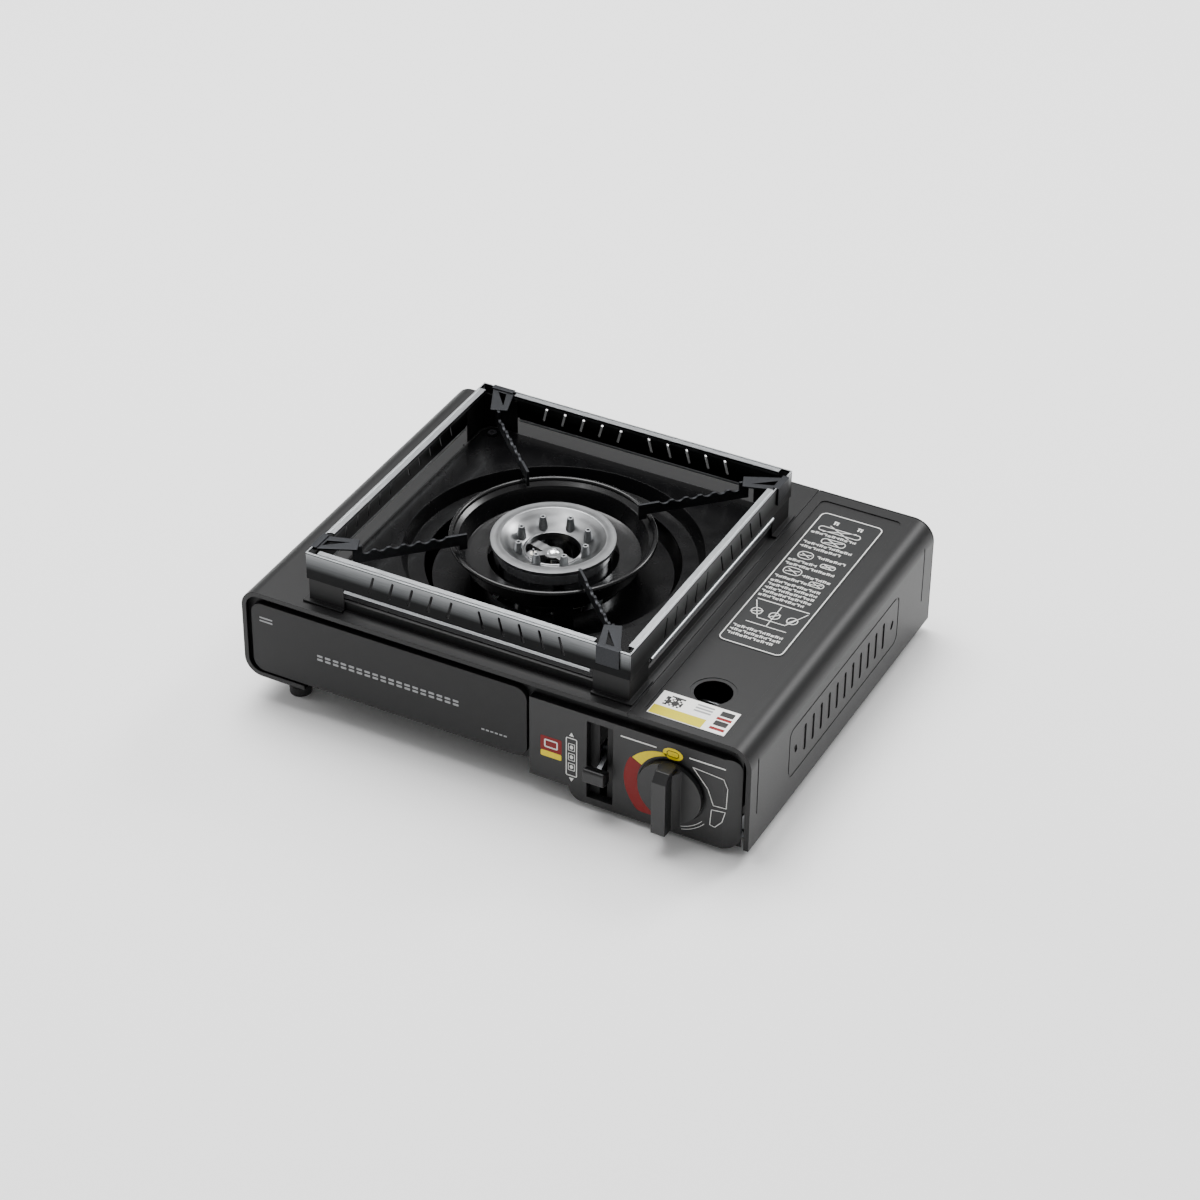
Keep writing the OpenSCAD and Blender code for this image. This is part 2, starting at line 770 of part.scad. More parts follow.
// Guide that fits the notch in the cartridge's collar.
module notch_guide() {
    z = cartridge_z + 18;
    color("#a9acae") {
        block([cartridge_x - 3, socket_y, z - 1], [cartridge_x + 3, socket_y + 9, z + 1]);
        block([cartridge_x - 7, socket_y, z + 1], [cartridge_x + 7, socket_y + 1.5, z + 7]);
    }
}

// Piezo igniter beside the valve shaft.
module igniter_body() {
    color("#e4e0d2") {
        block([ignite_x - 6, ignite_y, ignite_z - 6], [ignite_x + 6, ignite_y + 26, ignite_z + 6]);
        rod_y(ignite_x, ignite_z, ignite_y + 26, ignite_y + 30, 3.5);
    }
}

// Ceramic sleeve of the spark electrode.
module electrode_insulator() {
    color("#efece4") translate([burner_x + spark_at[0], burner_y + spark_at[1], ring_z - 30])
        difference() {
            union() {
                cylinder(r = 2.2, h = 19);
                cylinder(r = 3.2, h = 5);
            }
            translate([0, 0, -1]) cylinder(r = 0.6, h = 22);
        }
}

// Steel tip of the spark electrode, held in its sleeve.
module igniter_electrode() {
    color("#7f8285") translate([burner_x + spark_at[0], burner_y + spark_at[1], ring_z - 33])
        cylinder(r = 0.6, h = 25);
}

// Insulated wire from the igniter, through the partition, up to the electrode.
module igniter_wire() {
    end_x = burner_x + spark_at[0];
    end_y = burner_y + spark_at[1];
    turn_y = burner_y - 16;
    corners = [
        [ignite_x, wire_y, ignite_z], [wire_x, wire_y, ignite_z], [wire_x, turn_y, ignite_z],
        [end_x, turn_y, ignite_z], [end_x, end_y, ignite_z]
    ];
    color("#8a1f1a") {
        rod_y(ignite_x, ignite_z, ignite_y + 30, wire_y, wire_r);
        rod_x(wire_y, ignite_z, wire_x, ignite_x, wire_r);
        rod_y(wire_x, ignite_z, wire_y, turn_y, wire_r);
        rod_x(turn_y, ignite_z, end_x, wire_x, wire_r);
        rod_y(end_x, ignite_z, turn_y, end_y, wire_r);
        translate([end_x, end_y, ignite_z]) cylinder(r = wire_r, h = ring_z - 33 - ignite_z);
        for (p = corners) translate(p) sphere(wire_r, $fn = 24);
    }
}

// Low pressed strips that the cartridge lies on.
module cartridge_cradle() {
    y0 = socket_y + 30;
    z1 = cartridge_z - cartridge_r;
    color("#85888a") for (y = [y0, y0 + 100]) difference() {
        block([cartridge_x - 26, y, bay_floor], [cartridge_x + 26, y + 14, z1]);
        block([cartridge_x - 26 + sheet, y - 1, bay_floor - 1],
              [cartridge_x + 26 - sheet, y + 15, z1 - sheet]);
    }
}

// Aluminium strip that carries burner heat to the bay's wall.
module heat_plate() {
    y0 = burner_y + 20;
    y1 = burner_y + 44;
    z1 = 66;
    color("#c2c4c5") {
        block([partition_x - sheet, y0, bay_floor + sheet], [partition_x, y1, z1]);
        block([partition_x - 34, y0, z1 - sheet], [partition_x, y1, z1]);
    }
}

// Folded bracket behind the panel that carries the lever's pivot.
module lever_bracket() {
    cheek = 1.6;
    y0 = frame_y + sheet;
    z0 = lever_z - 10;
    z1 = lever_z + 6;
    outer = bracket_in + cheek;
    color("#9fa2a4") difference() {
        union() {
            for (x = [lever_x - outer, lever_x + bracket_in])
                block([x, y0, z0], [x + cheek, lever_y + 6, z1]);
            block([lever_x - outer, lever_y, z0], [lever_x + outer, lever_y + 6, z0 + cheek]);
            block([lever_x - outer - 6, y0, z0], [lever_x - outer, y0 + cheek, z1]);
        }
        rod_x(lever_y, lever_z, lever_x - 20, lever_x + 20, pivot_r);
    }
}

// Pin that the lever turns on.
module lever_pivot() {
    color("#c9cbcc")
        rod_x(lever_y, lever_z, lever_x - 6.4, lever_x + 6.2, pivot_r);
}

// Two brackets on the bay floor that hold the lid's pins.
module hinge_brackets() {
    color("#3c3d3f") for (y = hinge_ys) difference() {
        union() {
            block([bay_right + sheet, y, bay_z + 1], [hinge_x, y + 2.4, hinge_z + 3]);
            rod_y(hinge_x, hinge_z, y, y + 2.4, hinge_pin_r + 1.1);
            block([bay_right + sheet, y - 5, bay_z + 1],
                  [bay_right + sheet + 1.6, y + 8, bay_z + 12]);
        }
        rod_y(hinge_x, hinge_z, y - 1, y + 4, hinge_pin_r);
    }
}

// Pins fixed in the brackets.
module hinge_pins() {
    color("#c4c6c8") for (y = hinge_ys)
        rod_y(hinge_x, hinge_z, y - 1.2, y + 7, hinge_pin_r);
}

// The vent panel's outline in the lid's side, inset by i.
module vent_outline(i) {
    translate([mid_y - vent_half + i, vent_z0 + i])
        round_box(2 * (vent_half - i), vent_z1 - vent_z0 - 2 * i, 6 - i);
}

// Lid pressing: sunken top, rolled edge and side with a raised vent panel.
module lid_shell() {
    x0 = seam_x + lid_gap;
    dip_x = x0 + 6;
    dip_w = side_x - lid_roll_r - 4 - dip_x;
    dip_y = front_y + 6;
    dip_l = shell_back - gap - 8 - dip_y;
    ring_z0 = lid_dip_z - sheet;
    vent_mid = (vent_z0 + vent_z1) / 2;
    color("#3a3b3d") difference() {
        union() {
            plate_y(front_y, shell_back - gap) difference() {
                lid_outline(0);
                lid_outline(sheet);
            }
            plate_y(front_y, front_y + sheet) difference() {
                lid_outline(0);
                lid_outline(lip_w);
            }
            // Underside of the sunken panel.
            translate([dip_x - sheet, dip_y - sheet, 0]) plate_z(ring_z0, top_z - sheet)
                round_box(dip_w + 2 * sheet, dip_l + 2 * sheet, 5);
        }
        translate([dip_x, dip_y, 0])
            plate_z(lid_dip_z, top_z + 1) round_box(dip_w, dip_l, 4);
        // Round window over the cartridge's collar, in a shallow ring.
        translate([window_x, window_y, 0]) cylinder(r = window_r, h = top_z + 1);
        translate([window_x, window_y, lid_dip_z - 0.4]) cylinder(r = window_r + 2.5, h = 2);
        // Vents: tall slots with one short slanted slot at each end.
        for (i = [0:vent_count - 1])
            plate_x(side_x - 5, side_x + 1)
                translate([mid_y + (i - (vent_count - 1) / 2) * vent_pitch, vent_mid])
                    slot(vent_w, vent_h);
        for (s = [-1, 1])
            plate_x(side_x - 5, side_x + 1) translate([mid_y + s * 69.5, vent_mid])
                rotate(-s * 20) slot(3.4, 6);
        // Creases near the ends of the side.
        for (y = [front_y + 9, back_y - 15])
            plate_x(side_x - 0.5, side_x + 1)
                translate([y, vent_z0 + 6]) square([1.2, top_z - lid_roll_r - vent_z0]);
        // Pressed border around the vents.
        plate_x(side_x - 0.4, side_x + 1) difference() {
            vent_outline(0);
            vent_outline(1.2);
        }
    }
}

// Ears under the lid's side that turn on the pins.
module lid_hinge_ears() {
    x1 = side_x - sheet;
    color("#4a4b4d") for (y = hinge_ys) translate([0, y + 2.4 + gap, 0]) difference() {
        union() {
            rod_y(hinge_x, hinge_z, 0, 2.4, hinge_pin_r + 1.1);
            block([hinge_x, 0, hinge_z], [x1, 2.4, hinge_z + 10]);
            block([x1 - 1, -3, hinge_z + 4], [x1, 6, hinge_z + 10]);
        }
        rod_y(hinge_x, hinge_z, -1, 4, hinge_pin_r + run_fit);
    }
}

// Printed plate with the operating pictures.
module lid_label() {
    color("#303133") translate([bay_x - label_w / 2 + 3, mid_y - label_l / 2 + 35, 0])
        plate_z(lid_dip_z, lid_dip_z + label_t) round_box(label_w, label_l, 5);
}

// Coloured sticker at the front of the lid.
module lid_sticker() {
    color("#e9ecd0") translate([bay_x - sticker_w / 2 + 3, front_y + 7, 0])
        plate_z(lid_dip_z, lid_dip_z + label_t) square([sticker_w, sticker_l]);
}

// Knob: a disc with a tall grip bar across it.
module knob_cap() {
    y0 = front_y;
    y1 = front_y - knob_disc_t;
    y2 = front_y - knob_out;
    half = knob_r + 1;
    color("#242527") difference() {
        union() {
            rod_y(knob_x, knob_z, y1, y0 - gap, knob_r);
            rod_y(knob_x, knob_z, y0 - gap, y0 + 0.4, 9);
            translate([knob_x, 0, 0]) plate_x(-grip_w / 2, grip_w / 2) polygon([
                [y1, knob_z - half], [y2, knob_z - half + 1],
                [y2, knob_z + half - 5], [y2 + 5, knob_z + half], [y1, knob_z + half]
            ]);
            plate_z(knob_z - half, knob_z + half - 3) polygon([
                [knob_x - grip_w / 2 - 3, y1], [knob_x - grip_w / 2, y2 + 8],
                [knob_x + grip_w / 2, y2 + 8], [knob_x + grip_w / 2 + 3, y1]
            ]);
        }
        rod_y(knob_x, knob_z, y1 - 6, y0 + 1, shaft_r);
    }
}

// Shaft from the knob into the regulator.
module valve_shaft() {
    color("#bfc1c3")
        rod_y(knob_x, knob_z, front_y - knob_disc_t - 6, regulator_y + 10, shaft_r);
}

// Cam on the shaft that trips the igniter.
module igniter_cam() {
    y0 = frame_y + sheet + 4;
    color("#d9d6cc") difference() {
        union() {
            rod_y(knob_x, knob_z, y0, y0 + 4, 8);
            plate_y(y0, y0 + 4) translate([knob_x, knob_z]) rotate(20)
                translate([-2.5, 0]) square([5, 11]);
        }
        rod_y(knob_x, knob_z, y0 - 1, y0 + 5, shaft_r);
    }
}

// The lever's finger grip, in the locked place.
module lever_grip() {
    y0 = front_y - 9;
    half = lever_w / 2;
    color("#2c2d2f") plate_x(lever_x - half, lever_x + half) polygon([
        [y0 + 1.5, grip_z - 5], [y0, grip_z - 3.5], [y0, grip_z + 3.5], [y0 + 1.2, grip_z + 5],
        [y0 + 2.8, grip_z + 4.7], [y0 + 5, grip_z + 3.3], [grip_y, grip_z + 3],
        [grip_y, grip_z - 4], [y0 + 6, grip_z - 5]
    ]);
}

// Steel lever from the grip, past its pivot, up to the drive pin.
module lever_arm() {
    x0 = lever_x - arm_half;
    x1 = lever_x + arm_half;
    color("#8e9193") {
        difference() {
            plate_x(x0, x1) {
                translate([lever_y, lever_z]) circle(5.5);
                polygon([
                    [grip_y, grip_z + 2.5], [lever_y, lever_z + 5],
                    [lever_y + 4, lever_z - 3.5], [lever_y, lever_z - 5],
                    [grip_y, grip_z - 2.5]
                ]);
                translate([lever_y - 3, lever_z]) square([6, drive_r]);
                translate([lever_y, drive_z]) circle(3);
            }
            rod_x(lever_y, lever_z, x0 - 1, x1 + 1, pivot_r + run_fit);
        }
        rod_x(lever_y, drive_z, x1, link_x + 3.2, 1.5);
    }
}

// Sliding bar that carries the lever's movement to the back of the bay.
module link_bar() {
    y0 = lever_y - 6;
    color("#a4a7a9") difference() {
        union() {
            block([link_x, y0, link_z - link_half],
                  [link_x + link_t, pusher_y + link_t, link_z + link_half]);
            block([link_x, y0, link_z - link_half - 2],
                  [link_x + link_t, lever_y + 6, link_z + link_half + 2]);
            block([link_x, pusher_y, link_z - link_half],
                  [cartridge_x + 8, pusher_y + link_t, link_z + link_half]);
        }
        // Upright slot for the drive pin.
        plate_x(link_x - 1, link_x + link_t + 1)
            translate([lever_y, drive_z - slot_drop / 2]) slot(4.6, slot_drop + 4.6);
    }
}

// Channels on the partition that the link bar slides in.
module link_guides() {
    t = 1.2;
    z0 = link_z - link_half - gap;
    z1 = link_z + link_half + gap;
    x0 = link_x - gap - t;
    color("#96999b") for (y = [lever_y + 40, pusher_y - 40]) difference() {
        block([x0, y, z0 - t], [partition_x, y + 12, z1 + t]);
        block([x0 + t, y - 1, z0], [partition_x + 1, y + 13, z1]);
    }
}

// Plate that pushes on the cartridge's base.
module pusher_plate() {
    color("#b1b4b6") difference() {
        union() {
            rod_y(cartridge_x, cartridge_z, pusher_y - 3, pusher_y, 18);
            rod_y(cartridge_x, cartridge_z, pusher_y - 5, pusher_y - 3, 12);
        }
        rod_y(cartridge_x, cartridge_z, pusher_y - 6, pusher_y + 1, 4);
    }
}

// One wind shield wall: slits, folded rim and a skirt with a beaded edge.
// Drawn on the front side; turned for the others.
module support_wall() {
    half = support_half;
    side_gap = sheet + 0.1;
    skirt = half - corner_leg - 2;
    rim_x0 = 7 - half;
    rim_x1 = clip_x - 2.5;
    inner_y = sheet - half;
    color("#55575a") difference() {
        union() {
            block([-half, -half, wall_z], [half - side_gap, inner_y, overall_h]);
            block([-skirt, -half, skirt_z], [skirt, inner_y, wall_z]);
            block([rim_x0, inner_y, overall_h - sheet], [rim_x1, inner_y + rim_w, overall_h]);
            block([rim_x0, inner_y + rim_w - sheet, overall_h - 3],
                  [rim_x1, inner_y + rim_w, overall_h - sheet]);
            rod_x(-half, skirt_z + 1, -skirt, skirt, 1);
        }
        // Groove between the wall and its rim.
        block([rim_x0, inner_y, overall_h - 0.5], [rim_x1, inner_y + 0.8, overall_h + 1]);
        // Notch that the arm's clip folds over.
        block([clip_x - 0.3, -half - 1, overall_h - clip_t],
              [clip_x + clip_w + 0.3, inner_y + 1, overall_h + 1]);
        for (s = [-1, 1])
            for (i = [0:slit_count - 1])
                translate([s * (10.5 + i * slit_pitch), 0, wall_z + 9])
                    plate_y(-half - 3, inner_y + 0.4)
                        rotate(s * slit_lean) slot(slit_w, slit_len);
    }
}

// Turns a part round the pot support's axis.
module on_support(turn) {
    translate([burner_x, burner_y, 0]) rotate([0, 0, turn]) children();
}

// Angle brackets that join the walls and stand on the casing.
module corner_brackets() {
    a = support_half - sheet;
    low = -a;
    foot_t = 1.6;
    color("#4b4d50") for (turn = [0:90:270]) on_support(turn) {
        block([low, low, top_z], [low + corner_leg, low + sheet, wall_z + 12]);
        block([low, low, top_z], [low + sheet, low + corner_leg, wall_z + 12]);
        block([low - 2, low - 3, top_z], [low + corner_leg, low, top_z + foot_t]);
        block([low - 3, low - 3, top_z], [low, low + corner_leg, top_z + foot_t]);
    }
}

// One pot arm: a toothed blade, its gusset and the clip over the wall.
// Drawn at the front right corner; turned for the others.
module pot_arm() {
    out = (support_half - 20) * sqrt(2);
    z0 = overall_h - 13.5;
    z1 = z0 + arm_h;
    teeth = 6;
    pitch = (out - arm_in - 16) / teeth;
    half = support_half;
    top = overall_h;
    color("#1f2022") {
        rotate([0, 0, -45]) plate_y(-arm_t / 2, arm_t / 2) {
            difference() {
                translate([arm_in, z0]) square([out - arm_in, arm_h]);
                for (i = [0:teeth - 1])
                    translate([arm_in + 12 + (i + 0.5) * pitch, z1 + 2.2]) circle(4);
            }
            translate([arm_in, z0 - 3.2]) square([5, 5]);
            translate([out - 6, z0]) square([6, top - clip_t - 0.6 - z0]);
        }
        // Gusset from the blade's outer end to the wall, with a three-cornered hole.
        difference() {
            plate_z(top - 2 * clip_t, top - clip_t) polygon([
                [clip_x, sheet - half], [clip_x + clip_w, sheet - half],
                [half - 18, 24.5 - half], [half - 28, 20.5 - half]
            ]);
            plate_z(top - 4, top) polygon([
                [clip_x + 4, sheet - half + 3], [clip_x + 9.5, sheet - half + 3],
                [half - 22.8, 16.5 - half]
            ]);
        }
        // Clip: over the wall's top and down its outside.
        block([clip_x, -half - clip_t, top - clip_t], [clip_x + clip_w, sheet - half + 2, top]);
        block([clip_x, -half - clip_t, top - 12.5], [clip_x + clip_w, -half, top]);
    }
}

module pot_arm_front_right() on_support(0) pot_arm();
module pot_arm_rear_right() on_support(90) pot_arm();
module pot_arm_rear_left() on_support(180) pot_arm();
module pot_arm_front_left() on_support(270) pot_arm();
module support_wall_front() on_support(0) support_wall();
module support_wall_right() on_support(90) support_wall();
module support_wall_rear() on_support(180) support_wall();
module support_wall_left() on_support(270) support_wall();

base_tray();
top_shell();
rear_panel();
front_frame();
front_plate();
control_panel();
bay_partition();
casing_screws();
feet();
drip_pan();
burner_dish();
dish_brackets();
burner_cup();
burner_ring();
burner_nozzles();
burner_bridge();
burner_screw();
mixing_tube();
gas_jet();
gas_pipe();
regulator_body();
regulator_cap();
regulator_screws();
cartridge_socket();
socket_seal();
notch_guide();
igniter_body();
igniter_electrode();
electrode_insulator();
igniter_wire();
cartridge_cradle();
heat_plate();
lever_bracket();
lever_pivot();
hinge_brackets();
hinge_pins();
lid_shell();
lid_hinge_ears();
lid_label();
lid_sticker();
knob_cap();
valve_shaft();
igniter_cam();
lever_grip();
lever_arm();
link_bar();
link_guides();
pusher_plate();
support_wall_front();
support_wall_right();
support_wall_rear();
support_wall_left();
corner_brackets();
pot_arm_front_right();
pot_arm_rear_right();
pot_arm_rear_left();
pot_arm_front_left();
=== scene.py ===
"""Finishes a portable gas stove: rounded sheet-metal edges, paints, metals, plastics and
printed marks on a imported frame, and a plain studio around it."""

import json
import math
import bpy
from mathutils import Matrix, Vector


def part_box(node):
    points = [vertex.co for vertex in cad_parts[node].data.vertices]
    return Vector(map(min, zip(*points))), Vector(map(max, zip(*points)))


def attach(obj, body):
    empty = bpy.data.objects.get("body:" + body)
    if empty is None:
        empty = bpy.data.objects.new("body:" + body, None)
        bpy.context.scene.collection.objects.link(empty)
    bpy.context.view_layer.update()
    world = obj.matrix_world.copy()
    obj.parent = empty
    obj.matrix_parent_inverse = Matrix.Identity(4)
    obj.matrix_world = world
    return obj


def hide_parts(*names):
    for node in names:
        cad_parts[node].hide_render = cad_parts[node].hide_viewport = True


bl_info = {
    "name": "Portable gas stove",
    "version": (1, 0, 0),
    "blender": (4, 5, 0),
    "location": "View3D > Sidebar > Stove",
    "description": "Builds the finishes of a portable gas stove on its frame",
    "category": "Object",
}

import bmesh
import bpy
from bpy.props import FloatProperty, FloatVectorProperty, PointerProperty, StringProperty
from mathutils import Matrix, Vector

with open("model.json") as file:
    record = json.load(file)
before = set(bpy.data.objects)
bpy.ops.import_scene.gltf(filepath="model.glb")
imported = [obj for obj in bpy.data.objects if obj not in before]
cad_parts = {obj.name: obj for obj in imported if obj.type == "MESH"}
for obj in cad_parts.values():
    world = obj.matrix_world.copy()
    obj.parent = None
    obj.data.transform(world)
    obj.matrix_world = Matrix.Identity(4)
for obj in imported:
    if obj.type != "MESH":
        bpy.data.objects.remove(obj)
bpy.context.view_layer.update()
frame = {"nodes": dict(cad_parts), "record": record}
MM = 0.001
MERGE = 1e-6


# ---------------------------------------------------------------- sizes and colours


def linear(code):
    """A linear RGBA colour from an sRGB hex code."""
    parts = [int(code[i : i + 2], 16) / 255 for i in (1, 3, 5)]
    return [
        (c / 12.92 if c <= 0.04045 else ((c + 0.055) / 1.055) ** 2.4) for c in parts
    ] + [1.0]


class StoveSizes(bpy.types.PropertyGroup):
    """Small sizes that the finishes add to the frame."""

    sheet_round: FloatProperty(
        name="Sheet edge", description="Rounding of pressed sheet edges",
        default=0.28 * MM, unit="LENGTH",
    )
    mould_round: FloatProperty(
        name="Moulded edge", description="Rounding of moulded plastic edges",
        default=0.8 * MM, unit="LENGTH",
    )
    ink: FloatProperty(
        name="Ink height", description="Height of printed marks",
        default=0.08 * MM, unit="LENGTH",
    )
    line: FloatProperty(
        name="Line width", description="Width of the printed lines",
        default=0.9 * MM, unit="LENGTH",
    )


class StoveColours(bpy.types.PropertyGroup):
    """The stove's main colours, as sRGB hex codes."""

    paint: StringProperty(name="Paint", description="Casing paint", default="#131314")
    plastic: StringProperty(name="Plastic", description="Panel and knob", default="#101011")
    enamel: StringProperty(name="Enamel", description="Pan and dish", default="#070708")
    shield: StringProperty(name="Shield", description="Wind shield", default="#aeb0b2")
    white: StringProperty(name="White ink", description="White print", default="#d9d9d6")
    yellow: StringProperty(name="Yellow ink", description="Yellow print", default="#e6cc00")
    red: StringProperty(name="Red ink", description="Red print", default="#760000")


class StoveStage(bpy.types.PropertyGroup):
    """Camera, light and floor."""

    azimuth: FloatProperty(
        name="Azimuth", description="Camera turn", default=math.radians(27.3), subtype="ANGLE"
    )
    elevation: FloatProperty(
        name="Elevation", description="Camera height", default=math.radians(35.4), subtype="ANGLE"
    )
    roll: FloatProperty(
        name="Roll", description="Camera roll", default=math.radians(0.6), subtype="ANGLE"
    )
    distance: FloatProperty(
        name="Distance", description="Camera to target", default=2.0832, unit="LENGTH"
    )
    lens: FloatProperty(
        name="Lens", description="Focal length", default=102.48, unit="CAMERA"
    )
    target: FloatVectorProperty(
        name="Target", description="Point the camera looks at",
        default=(0.0094, 0.0005, 0.0548), subtype="XYZ",
    )
    floor: StringProperty(name="Floor", description="Floor colour", default="#f4f4f4")


def sizes():
    return bpy.context.scene.stove_sizes


def colours():
    return bpy.context.scene.stove_colours


# ---------------------------------------------------------------- materials


def add(tree, kind, values=None, links=None, **settings):
    """Adds a node, sets its properties and input values, and links sources into it."""
    made = tree.nodes.new(kind)
    for name, value in settings.items():
        setattr(made, name, value)
    for name, value in (values or {}).items():
        made.inputs[name].default_value = value
    for name, source in (links or {}).items():
        tree.links.new(source, made.inputs[name])
    return made


def start_material(name, values):
    """A new material with its shader's own values set; returns material, tree, shader
    and the object coordinates."""
    made = bpy.data.materials.new(name)
    made.use_nodes = True
    tree = made.node_tree
    tree.nodes.clear()
    shader = add(tree, "ShaderNodeBsdfPrincipled", values)
    add(tree, "ShaderNodeOutputMaterial", links={"Surface": shader.outputs["BSDF"]})
    place = add(tree, "ShaderNodeTexCoord").outputs["Object"]
    return made, tree, shader, place


def per_mm(size):
    """The texture scale whose features are about this many millimetres wide."""
    return 1.0 / (size * MM)


def surface(tree, shader, colour, rough=None, relief=None):
    """Wires a shader: colour is (factor, dark code, light code), rough is (factor, low,
    high) and relief is (height, depth in metres, strength)."""
    factor, dark, light = colour
    ramp = add(tree, "ShaderNodeValToRGB", links={"Fac": factor})
    ramp.color_ramp.elements[0].color = linear(dark)
    ramp.color_ramp.elements[1].color = linear(light)
    tree.links.new(ramp.outputs["Color"], shader.inputs["Base Color"])
    if rough:
        factor, low, high = rough
        span = add(
            tree, "ShaderNodeMapRange", {"To Min": low, "To Max": high}, {"Value": factor}
        )
        tree.links.new(span.outputs["Result"], shader.inputs["Roughness"])
    if relief:
        height, depth, strength = relief
        bump = add(
            tree, "ShaderNodeBump", {"Strength": strength, "Distance": depth},
            {"Height": height},
        )
        tree.links.new(bump.outputs["Normal"], shader.inputs["Normal"])


def shaded(code, factor):
    """The same colour code, made darker or lighter by a factor."""
    parts = [min(255, round(int(code[i : i + 2], 16) * factor)) for i in (1, 3, 5)]
    return "#" + "".join(f"{p:02x}" for p in parts)


def stoved_paint(name, code, rough=0.42):
    """Stoved satin paint on pressed steel: charcoal with a fine sparkle, a soft
    orange-peel ripple and slight changes of sheen."""
    made, tree, shader, place = start_material(
        name,
        {"Metallic": 0.0, "IOR": 1.5, "Specular IOR Level": 0.27},
    )
    cloud = add(
        tree, "ShaderNodeTexNoise", {"Scale": per_mm(60), "Detail": 3.0}, {"Vector": place}
    ).outputs["Fac"]
    # Real flake is about 0.03 mm; drawn at 0.45 mm so that it shows.
    flake = add(
        tree, "ShaderNodeTexNoise", {"Scale": per_mm(0.45), "Detail": 1.0}, {"Vector": place}
    ).outputs["Fac"]
    blend = add(
        tree, "ShaderNodeMix", {"Factor": 0.35}, {"A": cloud, "B": flake}, data_type="FLOAT"
    ).outputs["Result"]
    peel = add(
        tree, "ShaderNodeTexNoise", {"Scale": per_mm(1.6), "Detail": 2.0}, {"Vector": place}
    ).outputs["Fac"]
    surface(
        tree, shader, (blend, shaded(code, 0.82), shaded(code, 1.22)),
        (flake, rough - 0.07, rough + 0.07), (peel, 0.012 * MM, 0.5),
    )
    return made


def glass_enamel(name, code, gloss=0.3):
    """Vitreous enamel fired on steel: deep black, wet gloss, a long gentle ripple and
    a few pin-point specks."""
    made, tree, shader, place = start_material(
        name,
        {"Metallic": 0.0, "IOR": 1.5, "Specular IOR Level": gloss, "Coat Weight": gloss * 0.4,
         "Coat Roughness": 0.1},
    )
    speck = add(
        tree, "ShaderNodeTexVoronoi", {"Scale": per_mm(5.0)}, {"Vector": place}
    ).outputs["Distance"]
    spot = add(
        tree, "ShaderNodeMapRange",
        {"From Min": 0.03, "From Max": 0.07, "To Min": 1.0, "To Max": 0.0}, {"Value": speck},
    ).outputs["Result"]
    ripple = add(
        tree, "ShaderNodeTexNoise", {"Scale": per_mm(14), "Detail": 2.0}, {"Vector": place}
    ).outputs["Fac"]
    surface(
        tree, shader, (spot, code, shaded(code, 2.6)),
        (ripple, 0.2, 0.32), (ripple, 0.12 * MM, 0.35),
    )
    return made


def moulded_abs(name, code, rough=0.5):
    """ABS moulded in a spark-eroded tool: dark, dry sheen with a fine even grain."""
    made, tree, shader, place = start_material(
        name, {"Metallic": 0.0, "IOR": 1.54, "Specular IOR Level": 0.4}
    )
    # Real erosion grain is about 0.1 mm; drawn at 0.4 mm so that it shows.
    grain = add(
        tree, "ShaderNodeTexNoise", {"Scale": per_mm(0.4), "Detail": 2.0}, {"Vector": place}
    ).outputs["Fac"]
    cloud = add(
        tree, "ShaderNodeTexNoise", {"Scale": per_mm(35)}, {"Vector": place}
    ).outputs["Fac"]
    surface(
        tree, shader, (cloud, shaded(code, 0.86), shaded(code, 1.14)),
        (grain, rough - 0.08, rough + 0.08), (grain, 0.03 * MM, 0.6),
    )
    return made


def drawn_steel(name, code, rough=0.25, along=(1.0, 14.0, 14.0)):
    """Cold-rolled and plated steel: a mirror-like grey with fine drawn lines."""
    made, tree, shader, place = start_material(name, {"Metallic": 1.0})
    stretched = add(
        tree, "ShaderNodeMapping", {"Scale": along}, {"Vector": place}
    ).outputs["Vector"]
    lines = add(
        tree, "ShaderNodeTexNoise", {"Scale": per_mm(9), "Detail": 4.0}, {"Vector": stretched}
    ).outputs["Fac"]
    surface(
        tree, shader, (lines, shaded(code, 0.84), shaded(code, 1.1)),
        (lines, rough - 0.06, rough + 0.1), (lines, 0.01 * MM, 0.4),
    )
    return made


